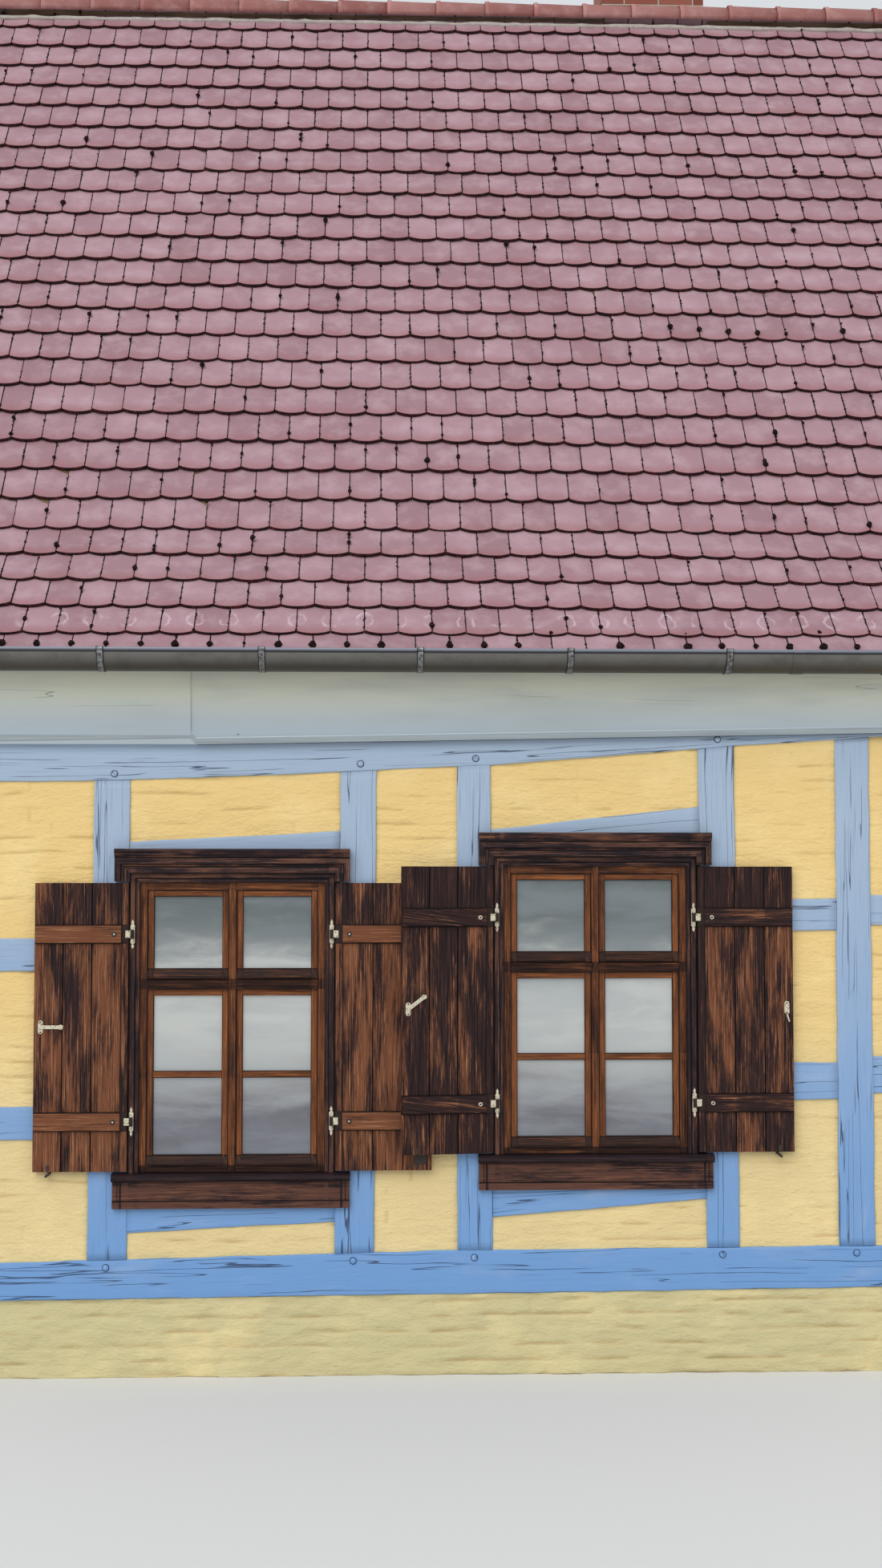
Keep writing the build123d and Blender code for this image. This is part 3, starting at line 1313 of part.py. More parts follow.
with BuildPart() as back_door:
    wall_prism(DOOR_OUTLINE, -1, -DOOR_RECESS, -DOOR_RECESS - DOOR_THICKNESS)
    door_board = (DOOR_RIGHT - DOOR_LEFT) / DOOR_BOARD_COUNT
    door_face = HALF_DEPTH - DOOR_RECESS
    half_groove = BOARD_GROOVE_WIDTH / 2
    for number in range(1, DOOR_BOARD_COUNT):
        joint_x = DOOR_LEFT + door_board * number
        groove = [
            (joint_x - half_groove, door_face),
            (joint_x + half_groove, door_face),
            (joint_x, door_face - BOARD_GROOVE_DEPTH),
        ]
        prism(groove, Plane.XY.offset(DOOR_BOTTOM), DOOR_HEAD - DOOR_BOTTOM, Mode.SUBTRACT)
back_door.part.label = "back_door"
export_step(back_door.part, "parts/back_door.step")

with BuildPart() as back_door_step:
    wall_prism(
        rectangle(DOOR_FRAME_LEFT, DOOR_FRAME_RIGHT, 0, DOOR_STEP_HEIGHT),
        -1,
        DOOR_STEP_OUT,
        -INFILL_RECESS,
    )
back_door_step.part.label = "back_door_step"
export_step(back_door_step.part, "parts/back_door_step.step")
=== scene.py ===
"""The looks of a timber-framed house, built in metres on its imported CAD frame."""

import bmesh
import bpy
import numpy as np
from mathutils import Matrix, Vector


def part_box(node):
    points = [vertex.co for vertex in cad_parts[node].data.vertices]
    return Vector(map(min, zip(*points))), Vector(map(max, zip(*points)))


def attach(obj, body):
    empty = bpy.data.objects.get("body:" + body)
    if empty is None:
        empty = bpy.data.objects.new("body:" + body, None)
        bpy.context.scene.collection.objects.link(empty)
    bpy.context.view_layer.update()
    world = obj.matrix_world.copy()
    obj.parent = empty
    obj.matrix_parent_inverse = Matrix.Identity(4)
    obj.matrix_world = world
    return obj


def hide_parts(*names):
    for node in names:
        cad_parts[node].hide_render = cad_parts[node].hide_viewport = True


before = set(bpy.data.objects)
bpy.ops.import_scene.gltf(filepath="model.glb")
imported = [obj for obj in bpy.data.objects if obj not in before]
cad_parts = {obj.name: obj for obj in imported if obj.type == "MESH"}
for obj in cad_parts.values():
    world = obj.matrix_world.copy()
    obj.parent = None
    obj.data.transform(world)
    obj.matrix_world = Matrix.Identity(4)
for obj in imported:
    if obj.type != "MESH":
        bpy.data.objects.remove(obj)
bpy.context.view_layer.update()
bpy.context.scene.view_settings.view_transform = "Standard"

# Wall timbers: oak posts, rails, plates and sill beams, hewn by hand and pegged together.
# Their faces wander by a few millimetres, their arrises are worn round, and they are painted
# blue, with fine drying cracks along the grain.
FRONT_WALL = (np.array([1, 0, 0]), np.array([0, -1, 0]), 3.43)
BACK_WALL = (np.array([-1, 0, 0]), np.array([0, 1, 0]), 3.43)
ARRIS = 0.007
PEG_SIZE = (0.0155, 0.0105)
PEG_GAP_SIZE = (0.0195, 0.0022)
HEAD_PEG = (0.02, 0.034)
FOOT_PEG = (-0.016, -0.036)


def on_wall(wall, along, out, height):
    """Places wall measures in the house: along the wall, out from its face, and height."""
    along_axis, out_axis, distance = wall
    along, out, height = np.broadcast_arrays(along, out, height)
    place = along[..., None] * along_axis + (distance + out)[..., None] * out_axis
    place[..., 2] += height
    return place


def drift(a, b, size, seed):
    """Gives smooth noise from -1 to 1: random numbers on a lattice, eased between its knots."""
    knots = np.random.default_rng(seed).uniform(-1, 1, (97, 89))
    a, b = np.broadcast_arrays(np.asarray(a, float) / size, np.asarray(b, float) / size)
    left, low = np.floor(a).astype(int), np.floor(b).astype(int)
    across, up = a - left, b - low
    across, up = across * across * (3 - 2 * across), up * up * (3 - 2 * up)
    lower, upper = [knots[left % 97, row] * (1 - across) + knots[(left + 1) % 97, row] * across
                    for row in (low % 89, (low + 1) % 89)]
    return lower * (1 - up) + upper * up


def numbers_of(items, name, width=1, kind=float):
    """Reads one property of all items of a mesh as an array, in rows of the given width."""
    values = np.empty(len(items) * width, kind)
    items.foreach_get(name, values)
    return values if width == 1 else values.reshape(-1, width)


def solids(node):
    """Reads the separate solids of a CAD node from a merged copy of its triangles.

    Points that agree to a tenth of a millimetre become one. Each point takes the lowest
    number among its triangles until nothing changes, so a solid's points share one number.
    """
    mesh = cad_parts[node].data
    points = numbers_of(mesh.vertices, "co", 3, np.float32)
    mesh.calc_loop_triangles()
    corners = numbers_of(mesh.loop_triangles, "vertices", 3, np.int32)
    merged, place = np.unique(np.round(points, 4), axis=0, return_inverse=True)
    triangles = place.reshape(-1)[corners]
    number = np.arange(len(merged))
    while True:
        lowest = number.copy()
        for corner in range(3):
            np.minimum.at(lowest, triangles[:, corner], number[triangles].min(axis=1))
        if (lowest == number).all():
            break
        number = lowest
    owner = number[triangles[:, 0]]
    return [merged[triangles[owner == solid]].astype(float) for solid in np.unique(owner)]


def edge_run(triangles, wall, side, run_axis):
    """Gives one long edge of a solid in its wall's plane, as points sorted along the solid.

    side is the direction in (along, height) that the edge's faces look to. Where the edge
    steps, two points share a place, and the one that the edge reaches first comes first.
    """
    along_axis = wall[0]
    flat = np.stack([triangles @ along_axis, triangles[..., 2]], axis=-1)
    normal = np.cross(triangles[:, 1] - triangles[:, 0], triangles[:, 2] - triangles[:, 0])
    normal /= np.linalg.norm(normal, axis=1)[:, None] + 1e-12
    looks = normal @ along_axis * side[0] + normal[:, 2] * side[1]
    points = np.unique(np.round(flat[looks > 0.3].reshape(-1, 2), 4), axis=0)
    points = points[np.argsort(points[:, run_axis], kind="stable")]
    for place in range(1, len(points) - 1):
        pair = points[place:place + 2]
        apart = np.abs(pair[:, 1 - run_axis] - points[place - 1, 1 - run_axis])
        if np.ptp(pair[:, run_axis]) < 0.0005 and apart[1] < apart[0]:
            points[place:place + 2] = pair[::-1].copy()
    return points


def even_steps(run, run_axis, count):
    """Spreads count points evenly along an edge, by straight lines between its own points."""
    steps = np.linspace(run[0, run_axis], run[-1, run_axis], count)
    other = np.interp(steps, run[:, run_axis], run[:, 1 - run_axis])
    return np.stack([steps, other][:: 1 if run_axis == 0 else -1], axis=-1)


def grid_faces(rows, columns, closed):
    """Numbers the four corners of each face of a grid, closed across its columns or not."""
    row = np.arange(rows - 1)[:, None]
    column = np.arange(columns if closed else columns - 1)[None, :]
    following = (column + 1) % columns
    corners = [row * columns + column, (row + 1) * columns + column,
               (row + 1) * columns + following, row * columns + following]
    return np.stack([np.broadcast_to(c, (rows - 1, column.shape[1])) for c in corners],
                    axis=-1).reshape(-1, 4)


def tube(sections, lengths, girths):
    """Skins a row of closed sections and their two ends, with an along-and-around map."""
    rows, columns = sections.shape[:2]
    faces = grid_faces(rows, columns, True).tolist()
    faces.append(list(range(columns)))
    faces.append(list(range(rows * columns - 1, (rows - 1) * columns - 1, -1)))
    flat_map = np.stack(np.broadcast_arrays(lengths[:, None], girths[None, :]), axis=-1)
    return sections.reshape(-1, 3), faces, flat_map.reshape(-1, 2)


def stand(name, data):
    """Stands a new object in the scene."""
    thing = bpy.data.objects.new(name, data)
    bpy.context.scene.collection.objects.link(thing)
    return thing


def make_piece(name, parts, material, body="house", smooth=True, tones=None, stands_for=()):
    """Joins parts into one mesh with its map and tones, and lets it ride on a body."""
    points = np.concatenate([part[0] for part in parts])
    starts = np.cumsum([0] + [len(part[0]) for part in parts[:-1]])
    faces = [[corner + int(start) for corner in face]
             for part, start in zip(parts, starts) for face in part[1]]
    mesh = bpy.data.meshes.new(name)
    mesh.from_pydata(points.tolist(), [], faces)
    corners = numbers_of(mesh.loops, "vertex_index", kind=np.int32)
    flat_map = np.concatenate([part[2] for part in parts])
    mesh.uv_layers.new(name="map").data.foreach_set("uv", flat_map[corners].ravel())
    if tones is not None:
        layer = mesh.attributes.new("tone", "FLOAT", "POINT")
        spread = [np.broadcast_to(tone, len(part[0])) for tone, part in zip(tones, parts)]
        layer.data.foreach_set("value", np.concatenate(spread).astype(np.float32))
    mesh.shade_smooth()
    if not smooth:
        mesh.shade_flat()
    mesh.materials.append(material)
    piece = stand(name, mesh)
    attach(piece, body)
    if stands_for:
        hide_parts(*stands_for)


def hewn_timber(wall, low_edge, high_edge, outer, inner, seed):
    """Gives a hewn timber between its two long edges.

    Along it runs a closed section: the arrises are quarter rounds whose place wanders with
    smooth noise, and the face swells and sinks by about a millimetre.
    """
    turn = np.radians([0, 22.5, 45, 67.5, 90])
    round_in = ARRIS * (1 - np.cos(turn))
    round_deep = ARRIS * (1 - np.sin(turn))
    face = np.linspace(0.12, 0.88, 7)
    share = np.concatenate([np.zeros(6), face, np.ones(6)])
    inset = np.concatenate([[0], round_in, np.zeros(7), -round_in[::-1], [0]])
    depth = np.concatenate([[outer - inner], round_deep, np.zeros(7), round_deep[::-1],
                            [outer - inner]])
    across = high_edge - low_edge
    width = np.linalg.norm(across, axis=1)
    unit = across / width[:, None]
    step = np.linalg.norm(np.diff((low_edge + high_edge) / 2, axis=0), axis=1)
    length = np.concatenate([[0], np.cumsum(step)])
    wander_low = 0.0022 * drift(length, 0, 0.17, seed) + 0.001 * drift(length, 3, 0.05, seed)
    wander_high = 0.0022 * drift(length, 9, 0.17, seed) + 0.001 * drift(length, 6, 0.05, seed)
    wander = wander_low[:, None] * (1 - share) - wander_high[:, None] * share
    middle = low_edge[:, None, :] + share[None, :, None] * across[:, None, :]
    middle = middle + (inset[None, :] + wander)[..., None] * unit[:, None, :]
    swell = 0.0012 * drift(length[:, None], share[None, :] * width[:, None], 0.09, seed + 1)
    swell = swell - 0.0008 * np.abs(drift(length[:, None], share[None, :] * 12, 0.4, seed + 2))
    out = outer - depth[None, :] + swell * (depth[None, :] < ARRIS)
    sections = on_wall(wall, middle[..., 0], out, middle[..., 1])
    girth = np.concatenate([[0], np.cumsum(np.linalg.norm(np.diff(sections[0], axis=0), axis=1))])
    offset = np.random.default_rng(seed).uniform(0, 40, 2)
    return tube(sections, length + offset[0], girth + offset[1])


def timbers_of(node, wall, seed):
    """Hews every solid of a CAD node in this wall, along its longer way in the wall's plane."""
    made = []
    for number, triangles in enumerate(solids(node)):
        along, out, height = triangles @ wall[0], triangles @ wall[1] - wall[2], triangles[..., 2]
        if out.max() < -wall[2]:
            continue
        upright = np.ptp(height) > np.ptp(along)
        longest = max(np.ptp(height), np.ptp(along))
        count = max(6, int(longest / 0.045))
        run_axis = 1 if upright else 0
        first = edge_run(triangles, wall, (1, 0) if upright else (0, -1), run_axis)
        second = edge_run(triangles, wall, (-1, 0) if upright else (0, 1), run_axis)
        made.append(hewn_timber(wall, even_steps(first, run_axis, count),
                                even_steps(second, run_axis, count), out.max(), out.min(),
                                seed + 7 * number))
    return made


def peg(wall, along, height, radius, proud):
    """Gives a round head: rings from inside the timber to a low dome."""
    turn = np.arange(10) * np.pi / 5
    size = radius * np.array([1, 1, 0.8, 0.3])[:, None]
    out = proud * np.array([-1, 0.4, 0.85, 1])[:, None]
    sections = on_wall(wall, along + size * np.cos(turn), out, height + size * np.sin(turn))
    return tube(sections, np.arange(4) * 0.003 + height, np.cumsum(np.full(10, 0.003)) + along)


def pegs_of(node, wall, radius, proud):
    """Pegs the tenons at both ends of every post of a CAD node, aside from the post's middle."""
    made = []
    for triangles in solids(node):
        along, height = triangles @ wall[0], triangles[..., 2]
        for end, (aside, beyond) in ((height.max(), HEAD_PEG), (height.min(), FOOT_PEG)):
            middle = along[np.abs(height - end) < 0.1].mean()
            made.append(peg(wall, middle + aside, end + beyond, radius, proud))
    return made


def wire(tree, kind, sockets, **settings):
    """Adds a shader node, sets or links its inputs, and hands it back."""
    node = tree.nodes.new("ShaderNode" + kind)
    for name, value in settings.items():
        setattr(node, name, value)
    for name, value in sockets.items():
        if isinstance(value, bpy.types.NodeSocket):
            tree.links.new(value, node.inputs[name])
        else:
            node.inputs[name].default_value = value
    return node


def calculate(tree, operation, first, second=0.0, third=0.0):
    """Adds a sum on numbers and gives its result."""
    return wire(tree, "Math", {0: first, 1: second, 2: third}, operation=operation).outputs[0]


def apart(tree, first, second):
    """Gives how far apart two values are."""
    return calculate(tree, "ABSOLUTE", calculate(tree, "SUBTRACT", first, second))


def fade(tree, value, low, high, most=1.0):
    """Turns a value into 0 at low and most at high, eased between. Either end may be larger."""
    node = wire(tree, "MapRange", {"Value": value, "From Min": low, "From Max": high,
                                   "To Max": most}, interpolation_type="SMOOTHSTEP")
    return node.outputs["Result"]


def mix_colours(tree, share, first, second):
    """Mixes two colours by a share and gives the result."""
    node = wire(tree, "Mix", {"Factor": share, 6: first, 7: second}, data_type="RGBA")
    return node.outputs[2]


def lay_over(tree, ground, layer, value, low, high, most=1.0):
    """Lays a colour over another: none of it where a value is low, most of it where it is high."""
    return mix_colours(tree, fade(tree, value, low, high, most), ground, layer)


def stretched(tree, place, scale):
    """Scales a place along its axes, so that a pattern follows the grain."""
    return wire(tree, "Mapping", {"Vector": place, "Scale": scale}).outputs["Vector"]


def noise(tree, place, scale, detail=3.0, roughness=0.5, distortion=0.0):
    """Gives a noise pattern from 0 to 1 at a place, finer the larger its one or three scales."""
    if isinstance(scale, tuple):
        place, scale = stretched(tree, place, scale), 1.0
    node = wire(tree, "TexNoise", {"Vector": place, "Scale": scale, "Detail": detail,
                                   "Roughness": roughness, "Distortion": distortion})
    return node.outputs["Fac"]


def own_place(tree):
    """Gives the place on the house in metres."""
    return wire(tree, "TexCoord", {}).outputs["Object"]


def own_map(tree, name="map"):
    """Gives one of the piece's own maps."""
    return wire(tree, "UVMap", {}, uv_map=name).outputs["UV"]


def split(tree, vector):
    """Splits a vector into its X, Y and Z."""
    return wire(tree, "SeparateXYZ", {"Vector": vector}).outputs


def new_finish(name, roughness, **shader_values):
    """Starts a material and gives it and its node tree."""
    material = bpy.data.materials.new(name)
    material.use_nodes = True
    shader = material.node_tree.nodes["Principled BSDF"]
    shader.inputs["Roughness"].default_value = roughness
    for socket, value in shader_values.items():
        shader.inputs[socket.replace("_", " ")].default_value = value
    return material, material.node_tree


def coat(material, surface, height, distance):
    """Gives a material its surface colour and a relief of height times distance."""
    tree = material.node_tree
    shader = tree.nodes["Principled BSDF"]
    tree.links.new(surface, shader.inputs["Base Color"])
    bump = wire(tree, "Bump", {"Height": height, "Distance": distance})
    tree.links.new(bump.outputs["Normal"], shader.inputs["Normal"])
    return material


def colour(red, green, blue):
    """Gives a linear colour from its screen values of 0 to 255."""
    screen = np.array([red, green, blue]) / 255
    linear = np.where(screen <= 0.04045, screen / 12.92, ((screen + 0.055) / 1.055) ** 2.4)
    return (*linear.tolist(), 1.0)


def crack_lines(tree, bends, where, narrow, wide):
    """Draws thin lines where smooth noise crosses its middle, kept to where they are wanted."""
    line = fade(tree, apart(tree, bends, 0.5), wide, narrow)
    return calculate(tree, "MULTIPLY", line, where)


def blue_paint():
    """Mixes blue paint on hewn oak: faded above, strong below, with cracks along the grain."""
    material, tree = new_finish("blue_paint", 0.62, Specular_IOR_Level=0.35)
    grain = own_map(tree)
    height = split(tree, own_place(tree))["Z"]
    strong = lay_over(tree, colour(110, 153, 205), colour(163, 181, 201), height, 0.3, 3.1)
    patches = noise(tree, grain, (2.2, 9, 1), 5, 0.6)
    worn = lay_over(tree, strong, colour(178, 193, 212), patches, 0.5, 0.85, 0.4)
    streaks = noise(tree, grain, (3, 130, 1), 4, 0.6)
    streaked = lay_over(tree, worn, colour(96, 128, 172), streaks, 0.5, 0.75, 0.35)
    bends = noise(tree, grain, (0.5, 20, 1), 3, 0.45, 0.15)
    where = fade(tree, noise(tree, grain, (1.1, 12, 1), 2), 0.47, 0.53)
    crack = crack_lines(tree, bends, where, 0.003, 0.0095)
    cracked = mix_colours(tree, calculate(tree, "MULTIPLY", crack, 0.85), streaked,
                          colour(48, 62, 92))
    lumps = noise(tree, grain, (9, 60, 1), 6, 0.65)
    relief = calculate(tree, "SUBTRACT", lumps, calculate(tree, "MULTIPLY", crack, 2.0))
    return coat(material, cracked, relief, 0.0016)


timber_finish = blue_paint()
for side, wall, seeds in (("front", FRONT_WALL, (10, 200, 400, 500)),
                          ("back", BACK_WALL, (610, 800, 1000, 1100))):
    rows = [side + row for row in ("_posts", "_rails", "_wall_plate", "_sill_beam")]
    timbers = [timber for row, seed in zip(rows, seeds) for timber in timbers_of(row, wall, seed)]
    make_piece(side + "_timbers", timbers + pegs_of(rows[0], wall, *PEG_SIZE), timber_finish,
               stands_for=rows)


def painted_peg_shade():
    """Paints shade into the narrow gap round a peg, where the paint has cracked open: a dark ring
    of painted shade, flecked with blue paint.
    """
    material, tree = new_finish("peg_ring_painted_shade", 0.9, Specular_IOR_Level=0.1)
    flakes = noise(tree, own_place(tree), 160, 3)
    face = lay_over(tree, colour(52, 66, 92), colour(112, 138, 172), flakes, 0.5, 0.7)
    return coat(material, face, flakes, 0.002)


# Dark rings round the peg heads: painted shade in the gaps.
make_piece("peg_shade_rings", pegs_of("front_posts", FRONT_WALL, *PEG_GAP_SIZE)
           + pegs_of("back_posts", BACK_WALL, *PEG_GAP_SIZE), painted_peg_shade())

# Brick panels between the timbers: bricks laid in lime mortar and painted over many times, so
# that only soft, broken creases show where the courses meet. The paint laps the timber edges.
LEFT_GABLE = (np.array([0, -1, 0]), np.array([-1, 0, 0]), 3.4925)
RIGHT_GABLE = (np.array([0, 1, 0]), np.array([1, 0, 0]), 3.4925)
COURSE = 0.077
BRICK = 0.25
INFILL_FACE = -0.012
INFILL_BACK = -0.15
INFILL_LAP = 0.012
RIM = 0.005


def painted_brick(along, height, seed, whole):
    """Gives the relief of painted bricks, and how deep in a crease a point lies.

    The distance to the nearest course line, and to the nearest upright joint, which moves by
    half a brick from course to course, is eased into a crease. Smooth noise bends the lines,
    fills more of them the less is left whole, and lifts and tips each brick by its own amount.
    """
    bent = (height + 0.011 * drift(along, height, 0.33, seed)
            + 0.004 * drift(along, height, 0.08, seed + 9))
    row = np.floor(bent / COURSE)
    line = np.round(bent / COURSE)
    from_course = np.abs(bent / COURSE - line) * COURSE
    shifted = (along + 0.02 * drift(row, 0, 0.7, seed + 1)) / BRICK + 0.5 * (row % 2)
    from_joint = np.abs(shifted - np.round(shifted)) * BRICK
    level = np.clip(1 - from_course / 0.019, 0, 1) ** 2
    upright = np.clip(1 - from_joint / 0.02, 0, 1) ** 2
    kept = np.clip(whole + 1.5 * drift(along + 3.1 * line, 1.3 * line, 0.14, seed + 2), 0, 1)
    kept_upright = np.clip(-0.2 + drift(along, height, 0.13, seed + 3), 0, 1)
    crease = np.maximum(level * kept, upright * kept_upright)
    number = np.floor(shifted)
    lift = 0.0016 * drift(row * 5.1, number * 3.7, 0.9, seed + 4)
    tip = 0.0045 * drift(row * 2.3, number * 4.9, 0.8, seed + 7) * (bent / COURSE - row - 0.5)
    swell = (0.0032 * drift(along, height, 0.13, seed + 5)
             + 0.0016 * drift(along, 1.8 * height, 0.045, seed + 6))
    return lift + tip + swell - 0.004 * crease, crease


def brick_panel(wall, low_edge, high_edge, inner, seed, step, rough=1.0, gap=1.0, whole=0.05):
    """Gives a brick panel between its lower and upper edges.

    A grid between the two edges carries the brick relief. Its outermost ring lies close to the
    next one, wanders a little and falls back, where thick paint rounds the rim into the gap.
    Four plain sides and a back close it. rough deepens the relief, and gap the fall and the
    painted shade in it.
    """
    tall = (high_edge[:, 1] - low_edge[:, 1]).max()
    rows = max(5, int(tall / step))
    rim = RIM / tall
    share = np.concatenate([[0, rim], np.linspace(rim, 1 - rim, rows - 2)[1:-1], [1 - rim, 1]])
    for edge in (low_edge, high_edge):
        edge[1] = edge[0] + (edge[1] - edge[0]) * RIM / np.abs(edge[1, 0] - edge[0, 0])
        edge[-2] = edge[-1] + (edge[-2] - edge[-1]) * RIM / np.abs(edge[-2, 0] - edge[-1, 0])
    low_edge[:, 1] += 0.0025 * drift(low_edge[:, 0], 1, 0.07, seed + 11)
    high_edge[:, 1] += 0.0025 * drift(high_edge[:, 0], 2, 0.07, seed + 12)
    face = low_edge[:, None, :] + share[None, :, None] * (high_edge - low_edge)[:, None, :]
    along, height = face[..., 0], face[..., 1]
    along[:2] += 0.0025 * drift(height[:2], 3, 0.07, seed + 13)
    along[-2:] += 0.0025 * drift(height[-2:], 4, 0.07, seed + 14)
    relief, crease = painted_brick(along, height, seed, whole)
    falls = np.zeros_like(along)
    falls[[0, -1]] = falls[:, [0, -1]] = 1
    out = INFILL_FACE + rough * relief - 0.007 * gap * falls
    columns = len(low_edge)
    front = on_wall(wall, along, out, height)
    back = on_wall(wall, along, np.full_like(along, inner), height)
    ring = np.concatenate([np.arange(columns) * rows,
                           (columns - 1) * rows + np.arange(1, rows),
                           np.arange(columns - 2, -1, -1) * rows + rows - 1,
                           np.arange(rows - 2, 0, -1)])
    points = np.concatenate([front.reshape(-1, 3), back.reshape(-1, 3)[ring]])
    faces = grid_faces(columns, rows, False)
    start = columns * rows
    count = len(ring)
    numbers = np.arange(count)
    sides = np.stack([ring, start + numbers, start + (numbers + 1) % count, np.roll(ring, -1)],
                     axis=-1)
    faces = np.concatenate([faces, sides]).tolist()
    faces.append([start + number for number in range(count)][::-1])
    marks = np.zeros(len(points))
    # The marks hold the crease and, on the rim, the fall into the gap, which the limewash colours
    # as painted shade.
    marks[:start] = (crease + 2 * gap * falls).ravel()
    flat_map = np.stack([along, height], -1).reshape(-1, 2)
    flat_map = np.concatenate([flat_map, flat_map[ring]])
    return (points, faces, flat_map), marks


def panels_of(node, wall, seed, columns_step, step):
    """Lays brick over every solid of a CAD node, a little wider than the gap it fills."""
    made, marks = [], []
    for number, triangles in enumerate(solids(node)):
        if (triangles @ wall[1]).max() < 0:
            continue
        low = edge_run(triangles, wall, (0, -1), 0)
        high = edge_run(triangles, wall, (0, 1), 0)
        count = max(4, int((low[-1, 0] - low[0, 0]) / columns_step))
        low_edge, high_edge = even_steps(low, 0, count), even_steps(high, 0, count)
        centre = (low_edge.mean(axis=0) + high_edge.mean(axis=0)) / 2
        reach = np.abs(low_edge[-1, 0] - low_edge[0, 0]) / 2
        widen = 1 + INFILL_LAP / reach
        for edge, drop in ((low_edge, -INFILL_LAP), (high_edge, INFILL_LAP)):
            edge[:, 0] = centre[0] + (edge[:, 0] - centre[0]) * widen
            edge[:, 1] += drop
        part, mark = brick_panel(wall, low_edge, high_edge, INFILL_BACK, seed + number, step)
        made.append(part)
        marks.append(mark)
    return made, marks


def own_tone(tree):
    """Gives the tone that the piece's mesh carries."""
    return wire(tree, "Attribute", {}, attribute_name="tone").outputs["Fac"]


def yellow_paint():
    """Mixes yellow limewash on brick: warm above, paler and dustier towards the ground, browner in
    the creases, partly their own colour and partly painted shade, and darkest in the gap round
    each panel's rim, as painted shade.
    """
    material, tree = new_finish("yellow_limewash", 0.85, Specular_IOR_Level=0.2)
    place = own_place(tree)
    height = split(tree, place)["Z"]
    warm = lay_over(tree, colour(228, 205, 150), colour(238, 205, 138), height, 1.0, 2.2)
    low = lay_over(tree, colour(205, 194, 148), warm, height, 0.3, 0.75)
    clouds = noise(tree, place, 2.3, 5, 0.6)
    cloudy = lay_over(tree, low, colour(250, 225, 165), clouds, 0.45, 0.75, 0.5)
    crease = own_tone(tree)
    # Browner in the creases: partly the creases' own colour, partly painted shade.
    crease_shaded = lay_over(tree, cloudy, colour(170, 128, 70), crease, 0.05, 0.9, 0.42)
    # Darkest in the fall round each panel's rim: painted shade in the gap.
    rim_gap_shaded = lay_over(tree, crease_shaded, colour(92, 70, 44), crease, 1.1, 2.2)
    strokes = noise(tree, place, (9, 9, 34), 6, 0.6, 0.5)
    grains = noise(tree, stretched(tree, place, (1, 1, 2.2)), 34, 6, 0.6)
    return coat(material, rim_gap_shaded, calculate(tree, "ADD", grains, strokes), 0.0065)


infill_finish = yellow_paint()
for side, wall, seed, columns_step, step in (("front", FRONT_WALL, 2000, 0.022, 0.0095),
                                             ("back", BACK_WALL, 2100, 0.026, 0.012),
                                             ("left_gable", LEFT_GABLE, 2200, 0.04, 0.016),
                                             ("right_gable", RIGHT_GABLE, 2300, 0.04, 0.016)):
    panels, creases = panels_of(side + "_infill", wall, seed, columns_step, step)
    make_piece(side + "_panels", panels, infill_finish, tones=creases,
               stands_for=(side + "_infill",))

# Roof tiles: two layers of red clay plain tiles with a round-cut lower edge, hung on battens so
# that each course covers the joints of the one below. Moss grows in the joints.
RIDGE_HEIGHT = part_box("front_roof_slope")[1][2]
EAVE_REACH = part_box("back_roof_slope")[1][1]
EAVES_PITCH = np.radians(46.3)
MAIN_PITCH = np.radians(56.26)
TILE_EXPOSURE = 0.2334
LOWEST_EXPOSURE = 0.178
ROOF_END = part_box("front_roof_slope")[1][0]
TILE_THICKNESS = 0.024
TILE_ARC = 0.023
TILE_WIDTH = 0.178
TILE_START = 0.012
TILE_REACH = 0.26
FLARE = 4 * TILE_EXPOSURE + LOWEST_EXPOSURE
MAIN_RUN = (EAVE_REACH - FLARE * np.cos(EAVES_PITCH)) / np.cos(MAIN_PITCH)
COURSES = 27
TILES_ACROSS = 45
MOSS_LUMPS = 1300
GUTTER_LUMPS = 90
BIG_LUMPS = 60


def on_slope(side, x, down, above):
    """Places a point on a roof slope: x along the ridge, down from it, and above its surface.

    The slope is two straight runs, and its upright direction turns evenly near their bend.
    """
    x, down, above = np.broadcast_arrays(x, down, above)
    main = np.minimum(down, MAIN_RUN)
    flare = np.maximum(down - MAIN_RUN, 0)
    turn = np.clip((down - MAIN_RUN) / 0.24 + 0.5, 0, 1)
    pitch = MAIN_PITCH + (EAVES_PITCH - MAIN_PITCH) * turn
    reach = main * np.cos(MAIN_PITCH) + flare * np.cos(EAVES_PITCH) + above * np.sin(pitch)
    height = RIDGE_HEIGHT - main * np.sin(MAIN_PITCH) - flare * np.sin(EAVES_PITCH)
    return np.stack([x, side * reach, height + above * np.cos(pitch)], axis=-1)


def joint_place(number, course):
    """Places the joint left of a tile, which moves by half a tile from course to course."""
    return -ROOF_END - TILE_START + TILE_WIDTH * (number - 0.5 * ((course + 1) % 2))


def course_tail(course):
    """Gives how far down the slope the lower edge of a course lies."""
    tail = MAIN_RUN + FLARE - np.where(course > 0, LOWEST_EXPOSURE, 0)
    return tail - np.maximum(course - 1, 0) * TILE_EXPOSURE


def repeated(faces, count, size):
    """Numbers a small shell's faces again for each of its copies, size points further on."""
    starts = np.arange(count) * size
    return (faces[None] + starts[:, None, None]).reshape(-1, faces.shape[1]).tolist()


def clear_of(hole, x, down):
    """Tells which places lie outside a hole, given by its left, right, top and foot."""
    return (x < hole[0]) | (x > hole[1]) | (down < hole[2]) | (down > hole[3])


